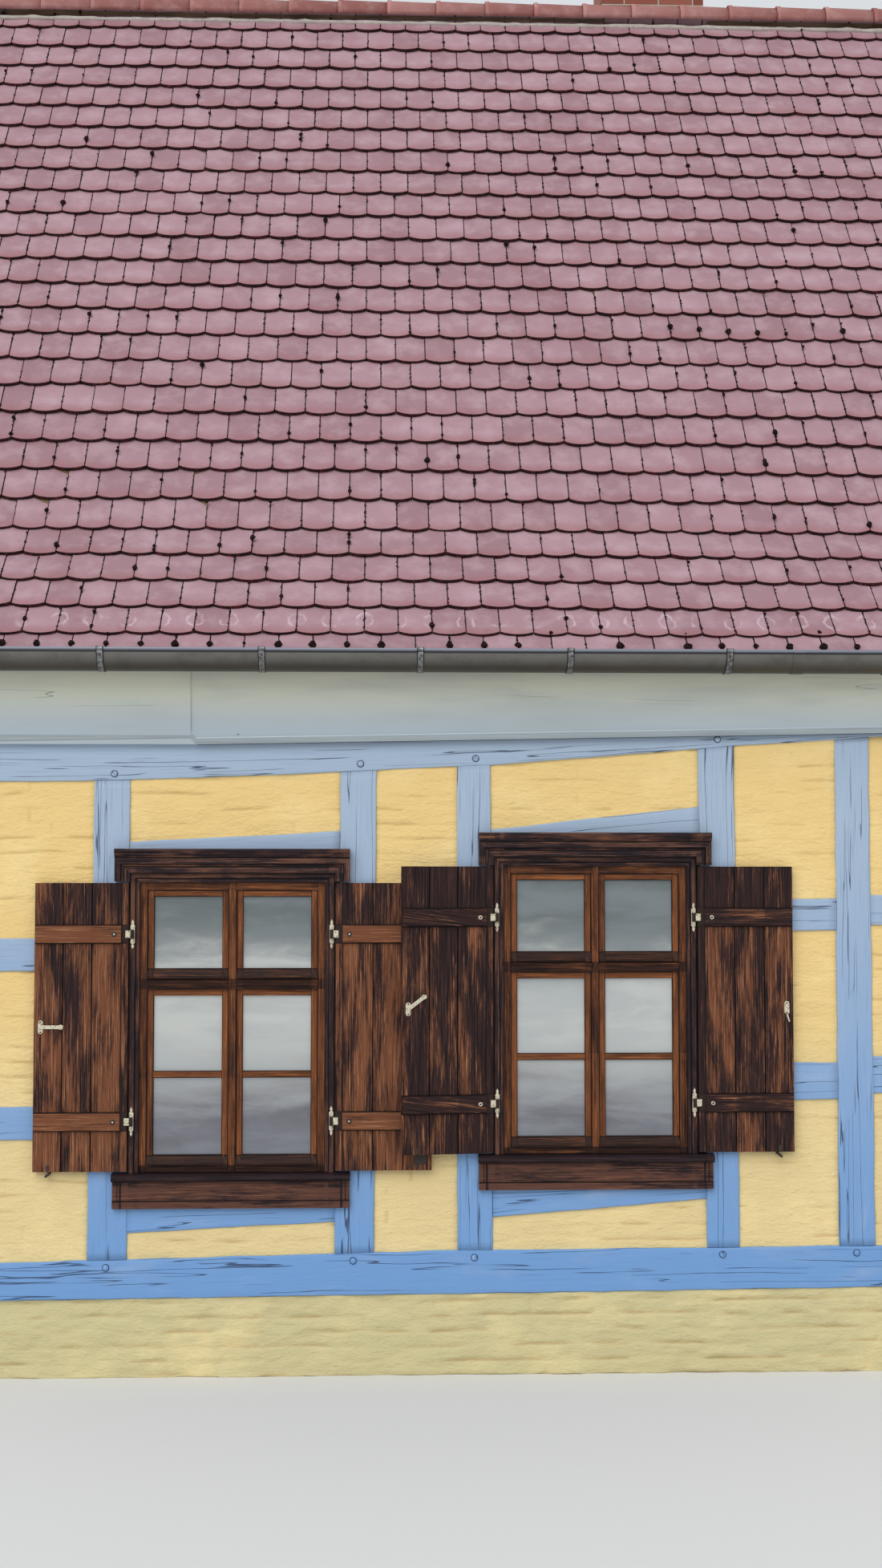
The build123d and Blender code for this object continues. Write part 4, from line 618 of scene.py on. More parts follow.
def tile_bed(side, seed, hole=None):
    """Lays all tiles of a slope as one array of closed shells.

    Each tile is a grid across its width and round its section. Its lower edge is an arc, its
    plane rises by one thickness per course from head to tail, and it sits a little off its
    true place by a random amount, on a roof that dips with smooth noise.
    """
    chance = np.random.default_rng(seed)
    course = np.repeat(np.arange(COURSES), TILES_ACROSS)
    left = joint_place(np.tile(np.arange(TILES_ACROSS), COURSES), course)
    right = np.minimum(left + TILE_WIDTH, ROOF_END)
    left = np.maximum(left, -ROOF_END)
    tail = course_tail(course)
    kept = right - left > 0.02
    if hole is not None:
        kept &= clear_of(hole, (left + right) / 2, tail)
    left, right, tail, course = (values[kept] for values in (left, right, tail, course))
    count = len(left)
    slip = chance.normal(0, 0.0022, count)
    tilt = chance.normal(0, 0.0022, count)
    lift = chance.uniform(0, 0.0025, count)
    gap = chance.uniform(0.0012, 0.003, count)
    across = np.linspace(-1, 1, 8)
    up = np.array([TILE_REACH, 0.16, 0.004, 0, 0, TILE_REACH])
    top = np.array([0, 0, 0, -0.003, -TILE_THICKNESS, -TILE_THICKNESS])
    arc = TILE_ARC * (1 - np.sqrt(1 - 0.5 * across**2)) / (1 - np.sqrt(0.5))
    half = (right - left)[:, None, None] / 2 - gap[:, None, None]
    narrow = np.clip(half / (TILE_WIDTH / 2), 0, 1)
    x = (left + right)[:, None, None] / 2 + across[None, :, None] * half
    rise = up[None, None, :] + arc[None, :, None] * narrow * (up[None, None, :] < 0.1)
    line = 0.004 * drift(x, course[:, None, None], 0.9, seed + 1)
    down = tail[:, None, None] + slip[:, None, None] + line - rise
    above = top[None, None, :] - TILE_THICKNESS / TILE_EXPOSURE * rise + lift[:, None, None]
    above = above + tilt[:, None, None] * across[None, :, None]
    above = above - 0.012 * np.abs(drift(x, tail[:, None, None], 1.7, seed + 2))
    points = on_slope(side, x, down, above).reshape(-1, 3)
    ring = len(up)
    size = len(across) * ring
    numbers = np.arange(size)[None]
    shells = (grid_faces(len(across), ring, True), numbers[:, :ring], numbers[:, -ring:][:, ::-1])
    faces = []
    for shell in shells:
        faces += repeated(shell[:, ::side], count, size)
    flat_map = np.stack(np.broadcast_arrays(x - left[:, None, None], up), axis=-1).reshape(-1, 2)
    tone = np.repeat(chance.uniform(0, 1, count) + 2 * (course == 1), size)
    return (points, faces, flat_map), tone


def clay():
    """Fires red clay: a dusty pink face, a lower edge darkened by damp and painted shade and
    flecked with painted red glints, and soot and moss in the joints.

    In the second course rain drips from the joints above have left a pale ring at each joint.
    """
    material, tree = new_finish("red_clay", 0.72, Specular_IOR_Level=0.3)
    place = own_place(tree)
    on_tile = split(tree, own_map(tree))
    tone = own_tone(tree)
    face = mix_colours(tree, calculate(tree, "FRACT", tone), colour(151, 116, 123),
                       colour(169, 134, 142))
    dust = noise(tree, place, 7, 6, 0.62)
    dusty = lay_over(tree, face, colour(190, 162, 170), dust, 0.4, 0.72, 0.5)
    red = lay_over(tree, dusty, colour(150, 92, 96), on_tile["Y"], 0.09, 0.004, 0.5)
    worn = lay_over(tree, red, colour(132, 88, 92), noise(tree, place, 1.1, 4), 0.5, 0.75, 0.2)
    from_side = calculate(tree, "MINIMUM", on_tile["X"],
                          calculate(tree, "SUBTRACT", TILE_WIDTH, on_tile["X"]))
    rise = calculate(tree, "MULTIPLY_ADD", on_tile["Y"], 0.62, -0.075)
    from_drip = wire(tree, "VectorMath", {0: wire(tree, "CombineXYZ", {
        "X": from_side, "Y": rise}).outputs["Vector"]}, operation="LENGTH").outputs["Value"]
    wave = calculate(tree, "MULTIPLY_ADD", noise(tree, place, 22, 3), 0.04, 0.022)
    fresh = fade(tree, noise(tree, place, 9, 3), 0.42, 0.62)
    ring = calculate(tree, "MULTIPLY", fade(tree, apart(tree, from_drip, wave), 0.011, 0.0), fresh)
    dripped = calculate(tree, "MULTIPLY", ring, fade(tree, tone, 1.5, 1.9, 0.42))
    ringed = mix_colours(tree, dripped, worn, colour(226, 206, 216))
    reach = calculate(tree, "MULTIPLY_ADD", fade(tree, noise(tree, place, 34, 2), 0.52, 0.72),
                      0.006, 0.003)
    joint = fade(tree, calculate(tree, "SUBTRACT", from_side, reach), 0.0015, -0.001, 0.95)
    mossy = mix_colours(tree, joint, ringed, colour(34, 17, 21))
    # The lower edge: nearly black from damp and painted shade, flecked with painted red glints.
    red_glints = noise(tree, place, 45, 4, 0.6)
    under = lay_over(tree, colour(30, 10, 12), colour(112, 44, 44), red_glints, 0.45, 0.8)
    shaded = lay_over(tree, mossy, under, on_tile["Y"], 0.003, 0.0)
    return coat(material, shaded, noise(tree, place, 60, 5, 0.6), 0.0012)


def moss(side, seed, hole=None):
    """Grows moss in the tile joints: first the lumps above the gutter, then big and small ones.

    Each lump is a squashed ball: rings round its upright way, pushed out by random numbers.
    """
    chance = np.random.default_rng(seed)
    course = chance.integers(0, COURSES, MOSS_LUMPS)
    course[:GUTTER_LUMPS] = 0
    x = joint_place(chance.integers(1, 42, MOSS_LUMPS), course)
    tail = course_tail(course)
    down = tail - chance.uniform(0.03, 0.21, MOSS_LUMPS)
    size = 0.0045 + 0.009 * chance.uniform(0, 1, MOSS_LUMPS)**3
    size[GUTTER_LUMPS:GUTTER_LUMPS + BIG_LUMPS] = chance.uniform(0.013, 0.019, BIG_LUMPS)
    size[:GUTTER_LUMPS] = chance.uniform(0.006, 0.024, GUTTER_LUMPS)
    down[:GUTTER_LUMPS] = tail[:GUTTER_LUMPS] - 0.11 + size[:GUTTER_LUMPS]
    kept = (x > -ROOF_END + 0.05) & (x < ROOF_END - 0.05)
    if hole is not None:
        kept &= clear_of(hole, x, down)
    x, down, size = x[kept, None, None], down[kept, None, None], size[kept, None, None]
    polar = np.radians([0, 45, 85, 125])[:, None]
    turn = np.arange(6) * np.pi / 3
    reach = size * chance.uniform(0.8, 1.2, (len(x), 4, 6))
    around = reach * np.sin(polar)
    points = on_slope(side, x + around * np.cos(turn), down + 1.25 * around * np.sin(turn),
                      0.8 * reach * np.cos(polar) - 0.004)
    points = points.reshape(-1, 3)
    faces = repeated(grid_faces(4, 6, True)[:, ::side], len(x), 24)
    return points, faces, np.zeros((len(points), 2))


def dark_moss():
    """Grows moss, nearly black, with brown tips."""
    material, tree = new_finish("dark_moss", 0.95, Specular_IOR_Level=0.1)
    tips = noise(tree, own_place(tree), 90, 4, 0.6)
    face = lay_over(tree, colour(28, 16, 18), colour(74, 50, 42), tips, 0.45, 0.8)
    return coat(material, face, tips, 0.004)


clay_finish = clay()
front_bed, front_tones = tile_bed(-1, 31)
make_piece("front_roof_tiles", [front_bed], clay_finish, smooth=False,
           tones=[front_tones], stands_for=("front_roof_slope",))
chimney_low, chimney_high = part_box("chimney")
chimney_top_run = (chimney_low[1] + 0.03) / np.cos(MAIN_PITCH)
chimney_end_run = (chimney_high[1] - 0.03) / np.cos(MAIN_PITCH)
back_bed, back_tones = tile_bed(1, 57, (chimney_low[0] + 0.06, chimney_high[0] - 0.06,
                                        chimney_top_run, chimney_end_run + 0.1))
make_piece("back_roof_tiles", [back_bed], clay_finish, smooth=False,
           tones=[back_tones], stands_for=("back_roof_slope",))
moss_finish = dark_moss()
make_piece("front_roof_moss", [moss(-1, 33)], moss_finish)
make_piece("back_roof_moss", [moss(1, 59, (chimney_low[0] - 0.05, chimney_high[0] + 0.05,
                                           chimney_top_run - 0.1, chimney_end_run + 0.1))],
           moss_finish)


# Roof boarding: rough softwood planks, nailed side by side on the rafters under the tiles. They
# show only at the eaves and the verges.
def boarding(side, hole=None):
    """Gives the boarding of a slope: a sheet 23 mm thick, 36 mm under the tiles' surface.

    Its section runs down the upper face and back up the lower one, and is carried along x.
    """
    down = np.array([0.02, MAIN_RUN - 0.12, MAIN_RUN, MAIN_RUN + 0.12, MAIN_RUN + FLARE - 0.03])
    run = np.concatenate([down, down[::-1]])
    above = np.concatenate([np.full(5, -0.036), np.full(5, -0.059)])
    stretches = [(-ROOF_END, ROOF_END)] if hole is None else [
        (-ROOF_END, hole[0]), (hole[1], ROOF_END)]
    made = []
    for left, right in stretches:
        x = np.linspace(left, right, 3)
        sections = on_slope(side, x[:, None], run[None, :], above[None, :])
        if side < 0:
            sections = sections[:, ::-1]
        made.append(tube(sections, x, np.cumsum(np.full(10, 0.6))))
    return made


def plain_wood():
    """Gives sawn wood in two browns, with its grain along the map's first direction."""
    material, tree = new_finish("roof_boarding", 0.8, Specular_IOR_Level=0.25)
    streaks = noise(tree, own_map(tree), (1.5, 40, 1), 5, 0.6, 0.4)
    face = lay_over(tree, colour(120, 98, 76), colour(78, 60, 46), streaks, 0.35, 0.7)
    return coat(material, face, streaks, 0.0015)


make_piece("roof_boarding", boarding(-1) + boarding(1, (chimney_low[0] + 0.03,
                                                        chimney_high[0] - 0.03)),
           plain_wood(), smooth=False)

# Ridge tiles: half-round caps of red clay, each lapped over the next one. They are bedded in
# pale lime mortar, which bulges out along both edges.
CAP_LENGTH = 0.35
CAP_RADIUS = 0.118
CAP_CENTRE = RIDGE_HEIGHT - 0.045


def ridge_cap(left, seed):
    """Gives a ridge cap: a half ring carried along x, wider at its lapping end."""
    chance = np.random.default_rng(seed)
    along = np.array([0.0, 0.002, 0.03, 0.034, CAP_LENGTH + 0.03])
    radius = CAP_RADIUS + np.array([-0.004, 0.0, 0.0, -0.006, -0.016])
    turn = np.radians(np.linspace(-12, 192, 15))
    ring = np.concatenate([np.ones(15), np.full(15, 1 - 0.013 / CAP_RADIUS)])
    turns = np.concatenate([turn, turn[::-1]])
    reach = radius[:, None] * ring[None, :]
    lift = chance.uniform(-0.002, 0.003)
    x = left + along[:, None] + 0 * reach
    sections = np.stack([x, reach * np.cos(turns), CAP_CENTRE + lift + reach * np.sin(turns)],
                        axis=-1)
    return tube(sections[:, ::-1], along + left, np.cumsum(np.full(30, 0.03)))


def ridge_mortar(side):
    """Gives the mortar under the caps: a wavy bead carried along the ridge."""
    x = np.linspace(-ROOF_END + 0.01, ROOF_END - 0.01, 240)
    turn = np.radians(np.arange(0, 360, 45))
    size = 0.016 + 0.005 * drift(x, side, 0.06, 71)
    down = 0.128 + 0.006 * drift(x, side * 3, 0.09, 72)
    sections = on_slope(side, x[:, None], down[:, None] + size[:, None] * np.cos(turn),
                        -0.012 + 1.2 * size[:, None] * np.sin(turn))
    if side > 0:
        sections = sections[:, ::-1]
    return tube(sections, x, np.cumsum(np.full(8, 0.012)))


cap_starts = np.arange(-ROOF_END, ROOF_END - 0.3, CAP_LENGTH)
caps = [ridge_cap(left, 90 + number) for number, left in enumerate(cap_starts)]
cap_tones = np.random.default_rng(5).uniform(0, 1, len(caps))


def cap_clay():
    """Fires the ridge caps' clay: a little redder than the tiles, with pale dust."""
    material, tree = new_finish("ridge_clay", 0.8, Specular_IOR_Level=0.3)
    place = own_place(tree)
    face = mix_colours(tree, own_tone(tree), colour(152, 96, 90), colour(176, 122, 116))
    dust = noise(tree, place, 9, 5, 0.6)
    dusty = lay_over(tree, face, colour(196, 160, 154), dust, 0.42, 0.75, 0.5)
    return coat(material, dusty, noise(tree, place, 50, 5, 0.6), 0.0015)


def rough_mortar():
    """Mixes pale lime mortar."""
    material, tree = new_finish("pale_mortar", 0.9, Specular_IOR_Level=0.2)
    patches = noise(tree, own_place(tree), 30, 6, 0.6)
    return coat(material, mix_colours(tree, patches, colour(150, 140, 130), colour(210, 203, 194)),
                patches, 0.004)


make_piece("ridge_caps", caps, cap_clay(), tones=cap_tones,
           stands_for=("ridge_tiles",))
make_piece("ridge_mortar", [ridge_mortar(-1), ridge_mortar(1)], rough_mortar())


# Verge boards, rafters, joists and floors: sawn softwood, nailed together. The verge boards
# close the roof's two ends and are painted grey, and the rest is bare.
def wear_arrises(piece, width):
    """Rounds a piece's arrises by a small width."""
    rounding = piece.modifiers.new("worn_arrises", "BEVEL")
    rounding.width = width
    rounding.segments = 2
    rounding.limit_method = "ANGLE"
    rounding.angle_limit = np.radians(25)


def dress(node, material, worn=0.0):
    """Gives a CAD node its finish, and rounds its arrises where they are worn."""
    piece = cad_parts[node]
    piece.material_slots[0].material = material
    if worn:
        wear_arrises(piece, worn)


def sawn_wood(name, light, dark):
    """Gives sawn wood whose blotches follow the place, for pieces without a map."""
    material, tree = new_finish(name, 0.8, Specular_IOR_Level=0.25)
    blotches = noise(tree, own_place(tree), (9, 9, 9), 6, 0.65, 0.8)
    return coat(material, lay_over(tree, light, dark, blotches, 0.3, 0.7), blotches, 0.001)


rafter_finish = sawn_wood("rafter_wood", colour(150, 124, 92), colour(104, 80, 56))
for node in ("rafters", "loft_joists", "loft_floor", "ground_floor"):
    dress(node, rafter_finish)
verge_finish = sawn_wood("verge_paint", colour(168, 170, 164), colour(146, 150, 148))
dress("verge_boards", verge_finish, 0.003)


# Gables: the same blue oak frame, with its posts, rails and tie beam. Above stands a triangle of
# two bent rafters, a collar and three struts.
GABLE_REACH = 3.25
GABLE_BAY = 1.156
GABLE_STEP = 1.336
GABLE_POSTS = [(-GABLE_REACH + GABLE_BAY + GABLE_STEP * number,
                -GABLE_REACH + GABLE_STEP * (number + 1)) for number in range(4)]
GABLE_DEPTH = 0.18
GABLE_RAILS = ((1.30, 1.47), (2.17, 2.34))
TIE_UNDER = 3.22
TRUSS_FOOT = 3.61
COLLAR = (5.90, 6.06)
COLLAR_REACH = 1.62
STRUTS = ((-0.93, -0.77), (-0.08, 0.08), (0.77, 0.93))
TRUSS_DEPTH = 0.14
ROOF_BUILD_UP = 0.05
RAFTER_DEPTH = 0.14


def straight_timber(wall, low_ends, high_ends, run_axis, depth, seed):
    """Hews a straight timber between two edges, each given by its two ends."""
    low_ends, high_ends = np.array(low_ends, float), np.array(high_ends, float)
    count = max(6, int(np.ptp(low_ends[:, run_axis]) / 0.07))
    return hewn_timber(wall, even_steps(low_ends, run_axis, count),
                       even_steps(high_ends, run_axis, count), 0.0, -depth, seed)


def upright_timber(wall, left, right, low, high, depth, seed):
    """Hews an upright timber from its right edge to its left one."""
    return straight_timber(wall, [(right, low), (right, high)], [(left, low), (left, high)], 1,
                           depth, seed)


def level_timber(wall, left, right, low, high, depth, seed):
    """Hews a level timber from its lower edge to its upper one."""
    return straight_timber(wall, [(left, low), (right, low)], [(left, high), (right, high)], 0,
                           depth, seed)


def bent_rafter(wall, way, seed):
    """Hews a rafter from the plumb cut under the ridge to the level cut at the truss's foot.

    Its upper edge lies under the roof and bends at the eaves. Its lower edge is straight.
    """
    down = np.linspace(ROOF_BUILD_UP * np.tan(MAIN_PITCH), MAIN_RUN + FLARE, 400)
    roof = on_slope(1, 0.0, down, -ROOF_BUILD_UP)
    share = np.linspace(0, 1, 110)
    heights = TRUSS_FOOT + share * (roof[0, 2] - TRUSS_FOOT)
    outer = np.stack([way * np.interp(-heights, -roof[:, 2], roof[:, 1]), heights], axis=-1)
    under_ridge = RIDGE_HEIGHT - (ROOF_BUILD_UP + RAFTER_DEPTH) / np.cos(MAIN_PITCH)
    heights = TRUSS_FOOT + share * (under_ridge - TRUSS_FOOT)
    inner = np.stack([way * (under_ridge - heights) / np.tan(MAIN_PITCH), heights], axis=-1)
    low_edge, high_edge = (outer, inner) if way > 0 else (inner, outer)
    return hewn_timber(wall, low_edge, high_edge, 0.0, -TRUSS_DEPTH, seed)


def gable_timbers(wall, sill_top, seed):
    """Frames a gable: posts between sill and tie, rails between posts, and the truss above."""
    made = [upright_timber(wall, left, right, sill_top, TIE_UNDER, GABLE_DEPTH, seed + number)
            for number, (left, right) in enumerate(GABLE_POSTS)]
    edges = [-GABLE_REACH, *(edge for post in GABLE_POSTS for edge in post), GABLE_REACH]
    for level, (low, high) in enumerate(GABLE_RAILS):
        made += [level_timber(wall, left, right, low, high, GABLE_DEPTH,
                              seed + 20 + 9 * level + number)
                 for number, (left, right) in enumerate(zip(edges[::2], edges[1::2]))]
    made += [upright_timber(wall, left, right, TRUSS_FOOT, COLLAR[0], TRUSS_DEPTH,
                            seed + 60 + number)
             for number, (left, right) in enumerate(STRUTS)]
    made.append(level_timber(wall, -COLLAR_REACH, COLLAR_REACH, *COLLAR, TRUSS_DEPTH, seed + 70))
    return made + [bent_rafter(wall, way, seed + 80 + way) for way in (-1, 1)]


for side, wall, seed in (("left", LEFT_GABLE, 3000), ("right", RIGHT_GABLE, 4000)):
    sill = timbers_of("gable_sill_beams", wall, seed + 300)
    tie = timbers_of("gable_tie_beams", wall, seed + 400)
    sill_top = sill[0][0][:, 2].max() - 0.002
    make_piece(side + "_gable_timbers", sill + tie + gable_timbers(wall, sill_top, seed),
               timber_finish,
               stands_for=(side + "_gable_frame", side + "_gable_truss"))
    triangle, triangle_creases = panels_of("gable_triangle_infill", wall, seed + 900, 0.04, 0.022)
    make_piece(side + "_gable_triangle", triangle, infill_finish,
               tones=triangle_creases)
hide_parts("gable_tie_beams", "gable_sill_beams")
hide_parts("gable_triangle_infill")

# Plinth: the same painted brick, rougher and deeper creased, on all four sides. Its top falls
# gently to the left.
PLINTH_BACK = -0.29
plinth_places = np.concatenate(solids("plinth")).reshape(-1, 3)
plinth_ends = np.array([plinth_places[:, 0].min(), plinth_places[:, 0].max()])
plinth_tops = np.array([plinth_places[np.abs(plinth_places[:, 0] - end) < 0.001, 2].max()
                        for end in plinth_ends])


def plinth_side(wall, reach, seed):
    """Lays one side of the plinth, from the ground up to the sill beam's sloping foot."""
    along = np.linspace(-reach, reach, int(2 * reach / 0.026))
    top = np.interp(on_wall(wall, along, 0.0, 0.0)[:, 0], plinth_ends, plinth_tops)
    low_edge = np.stack([along, np.zeros_like(along)], axis=-1)
    high_edge = np.stack([along, top], axis=-1)
    part, marks = brick_panel(wall, low_edge, high_edge, PLINTH_BACK, seed, 0.0115, rough=2.4,
                              gap=0.0, whole=0.5)
    part[0][:, 2] = np.maximum(part[0][:, 2], 0)
    return part, marks


sides = [plinth_side(wall, reach, seed) for wall, reach, seed in (
    (FRONT_WALL, plinth_ends[1], 2402), (BACK_WALL, plinth_ends[1], 2501),
    (LEFT_GABLE, plinth_places[:, 1].max(), 2603), (RIGHT_GABLE, plinth_places[:, 1].max(), 2704))]
make_piece("plinth_brick", [part for part, _ in sides], infill_finish,
           tones=[marks for _, marks in sides], stands_for=("plinth",))


# Eaves boards: two planed softwood boards, nailed to the rafters' feet and painted grey, over a
# trim strip. The left one stands a little proud.
TRIM_OUT = 0.0375
TRIM_TALL = 0.0365
PLANED_GRAIN = (1.2, 10, 60)


def eaves_paint():
    """Mixes grey paint on planed boards, with painted light: lighter and creamy under the gutter,
    bluish and pale below.
    """
    material, tree = new_finish("eaves_paint", 0.55, Specular_IOR_Level=0.4)
    place = own_place(tree)
    # Painted light: lighter and creamy under the gutter, bluish below.
    painted_light_tint = lay_over(tree, colour(172, 184, 190), colour(214, 214, 194), split(tree, place)["Z"],
                    3.33, 3.6)
    clouds = noise(tree, place, (0.8, 3, 5), 5, 0.6)
    cloudy = lay_over(tree, painted_light_tint, colour(158, 166, 168), clouds, 0.45, 0.7, 0.35)
    where = fade(tree, noise(tree, place, (1.3, 3, 6), 2), 0.6, 0.66)
    crack = crack_lines(tree, noise(tree, place, (0.7, 3, 16), 2, 0.5, 0.3), where, 0.001, 0.006)
    cracked = mix_colours(tree, calculate(tree, "MULTIPLY", crack, 0.7), cloudy,
                          colour(84, 92, 94))
    knots = wire(tree, "TexVoronoi", {"Vector": stretched(tree, place, (2.3, 1, 5)), "Scale": 1.0},
                 feature="F1").outputs["Distance"]
    knotted = lay_over(tree, cracked, colour(92, 84, 72), knots, 0.03, 0.012, 0.75)
    streaks = noise(tree, place, PLANED_GRAIN, 5, 0.6)
    return coat(material, knotted, calculate(tree, "SUBTRACT", streaks, crack), 0.0006)


def trim_strip(node, wall):
    """Gives the trim: a small chamfered section carried along the boards' sloping foot.

    The foot is the lowest line of the node, so each of its points is the lowest at its place.
    """
    triangles = np.concatenate(solids(node))
    foot = edge_run(triangles, wall, (0, -1), 0)
    lowest = [foot[np.abs(foot[:, 0] - along) < 0.01, 1].min() for along in foot[:, 0]]
    foot = foot[foot[:, 1] < np.array(lowest) + 0.0005]
    foot = foot[np.concatenate([[True], np.diff(foot[:, 0]) > 0.02])]
    level = np.interp(foot[:, 0], foot[[0, -1], 0], foot[[0, -1], 1])
    foot = foot[foot[:, 1] < level + 0.02]
    out = np.array([0.0, 0.032, TRIM_OUT, TRIM_OUT, 0.0])
    rise = np.array([TRIM_TALL, TRIM_TALL, TRIM_TALL - 0.006, -0.0015, -0.0015])
    sections = on_wall(wall, foot[:, :1], out[None, :], foot[:, 1:] + rise[None, :])
    return tube(sections[:, ::-1], foot[:, 0], np.arange(5, 0, -1) * 0.02)


def trim_paint():
    """Paints the trim: a painted highlight on the chamfer that catches the sky, grey in front, and
    painted shade below.
    """
    material, tree = new_finish("trim_paint", 0.55, Specular_IOR_Level=0.3)
    girth = split(tree, own_map(tree))["Y"]
    streaks = noise(tree, own_place(tree), PLANED_GRAIN, 5, 0.6)
    face = lay_over(tree, colour(158, 168, 172), colour(142, 151, 155), streaks, 0.4, 0.7)
    # A painted highlight on the chamfer.
    chamfer_highlit = mix_colours(tree, calculate(tree, "LESS_THAN", girth, 0.0595), face,
                            colour(206, 218, 224))
    # Painted shade below the trim.
    under = mix_colours(tree, calculate(tree, "GREATER_THAN", girth, 0.0805), chamfer_highlit,
                        colour(30, 34, 38))
    return coat(material, under, streaks, 0.0006)


eaves_finish = eaves_paint()
trim_finish = trim_paint()
for side, wall in (("front", FRONT_WALL), ("back", BACK_WALL)):
    dress(side + "_eaves_board", eaves_finish, 0.002)
    make_piece(side + "_eaves_trim", [trim_strip(side + "_eaves_board", wall)], trim_finish,
               smooth=False)


# Gutters: half-round sheet zinc with a rolled bead along the front edge, weathered to
# grey-brown. They lie in straps under the tiles' lowest edge.
GUTTER_HEIGHT = 3.73


def weathered_zinc():
    """Weathers zinc: brown-grey, lighter near the top as a painted sheen and darkest at the
    bottom, with painted shade under the bead and a bluish bead, brightened partly as a painted
    highlight.
    """
    material, tree = new_finish("weathered_zinc", 0.42, Metallic=0.3)
    place = own_place(tree)
    height = split(tree, place)["Z"]
    stains = noise(tree, place, (5, 3, 9), 7, 0.7)
    # A painted sheen lightens the body towards its top.
    body = lay_over(tree, colour(66, 61, 55), colour(108, 105, 100), height, GUTTER_HEIGHT - 0.1,
                    GUTTER_HEIGHT - 0.03)
    stained = lay_over(tree, body, colour(60, 54, 44), stains, 0.42, 0.7, 0.45)
    # Painted shade under the bead.
    lip_shade = lay_over(tree, stained, colour(40, 40, 44), height, GUTTER_HEIGHT - 0.02,
                   GUTTER_HEIGHT - 0.016)
    # The bead bluish and brighter, partly as a painted highlight.
    bead = lay_over(tree, lip_shade, colour(128, 131, 142), height, GUTTER_HEIGHT - 0.010,
                    GUTTER_HEIGHT - 0.006)
    return coat(material, bead, stains, 0.0008)


zinc_finish = weathered_zinc()
for node in ("front_gutter", "back_gutter"):
    dress(node, zinc_finish)

# Gutter brackets: galvanised straps bent under the gutter, each nailed to a rafter foot behind
# and folded over the bead in front, with a rivet below the fold.
GUTTER_REACH = (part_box("back_gutter")[0][1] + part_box("back_gutter")[1][1]) / 2
GUTTER_RADIUS = 0.105
STRAP_WIDTH = 0.036
strap_middles = [solid[..., 0].mean() for solid in solids("gutter_brackets")]


def gutter_strap(side, middle):
    """Bends a strap: a crowned section carried down the rafter foot and round the gutter.

    The path is points and outward directions in the plane across the gutter. The section has
    two turned-down rims and a flat crown.
    """
    turn = np.radians(np.concatenate([np.linspace(180, 350, 35), [356]]))
    under = np.stack([np.cos(turn), np.sin(turn)], axis=-1)
    path = GUTTER_RADIUS * under + 0.0005 * under
    fold = np.radians(np.linspace(-60, 170, 12))
    bead = np.array([GUTTER_RADIUS - 0.003, 0.0])
    over = np.stack([np.cos(fold), np.sin(fold)], axis=-1)
    tail = np.array([[-GUTTER_RADIUS - 0.0005, 0.05], [-GUTTER_RADIUS - 0.0005, 0.02]])
    path = np.concatenate([tail, path, bead + 0.0085 * over])
    facing = np.concatenate([[[-1, 0], [-1, 0]], under, over])
    across = STRAP_WIDTH * np.array([-0.5, -0.5, -0.38, -0.3, 0.3, 0.38, 0.5, 0.5])
    lift = np.array([0.0, 0.003, 0.0055, 0.0042, 0.0042, 0.0055, 0.003, 0.0])
    place = path[:, None, :] + lift[None, :, None] * facing[:, None, :]
    x = middle + np.broadcast_to(across[None, :], place.shape[:2])
    sections = np.stack([x, side * (GUTTER_REACH + place[..., 0]), GUTTER_HEIGHT + place[..., 1]],
                        axis=-1)
    if side < 0:
        sections = sections[:, ::-1]
    lengths = np.concatenate([[0], np.cumsum(np.linalg.norm(np.diff(path, axis=0), axis=1))])
    return tube(sections, lengths, np.cumsum(np.full(8, 0.006)))


def strap_rivet(side, middle):
    """Sets a rivet's low dome on the strap just below the bead."""
    turn = np.arange(8) * np.pi / 4
    size = np.array([0.0075, 0.0065, 0.003])[:, None]
    out = GUTTER_RADIUS + np.array([0.003, 0.0065, 0.008])[:, None]
    lean = np.radians(-17)
    across, up = size * np.cos(turn), size * np.sin(turn)
    reach = out * np.cos(lean) - up * np.sin(lean)
    height = out * np.sin(lean) + up * np.cos(lean)
    sections = np.stack(np.broadcast_arrays(middle + across, side * (GUTTER_REACH + reach),
                                            GUTTER_HEIGHT + height), axis=-1)
    if side > 0:
        sections = sections[:, ::-1]
    return tube(sections, np.arange(3) * 0.003, np.cumsum(np.full(8, 0.005)))


def bright_zinc():
    """Galvanises the straps: mottled grey, with painted shade along both turned-down rims."""
    material, tree = new_finish("bracket_zinc", 0.35, Metallic=0.5)
    spots = noise(tree, own_place(tree), 60, 5, 0.6)
    face = lay_over(tree, colour(84, 82, 80), colour(138, 139, 143), spots, 0.35, 0.65)
    # Painted shade along both turned-down rims.
    off_middle = apart(tree, split(tree, own_map(tree))["Y"], 0.027)
    strap_rims_shaded = lay_over(tree, face, colour(36, 32, 30), off_middle, 0.006, 0.012)
    return coat(material, strap_rims_shaded, spots, 0.0008)


straps = [piece(side, middle) for piece in (gutter_strap, strap_rivet) for side in (-1, 1)
          for middle in sorted(set(np.round(strap_middles, 2)))]
make_piece("gutter_straps", straps, bright_zinc(),
           stands_for=("gutter_brackets",))


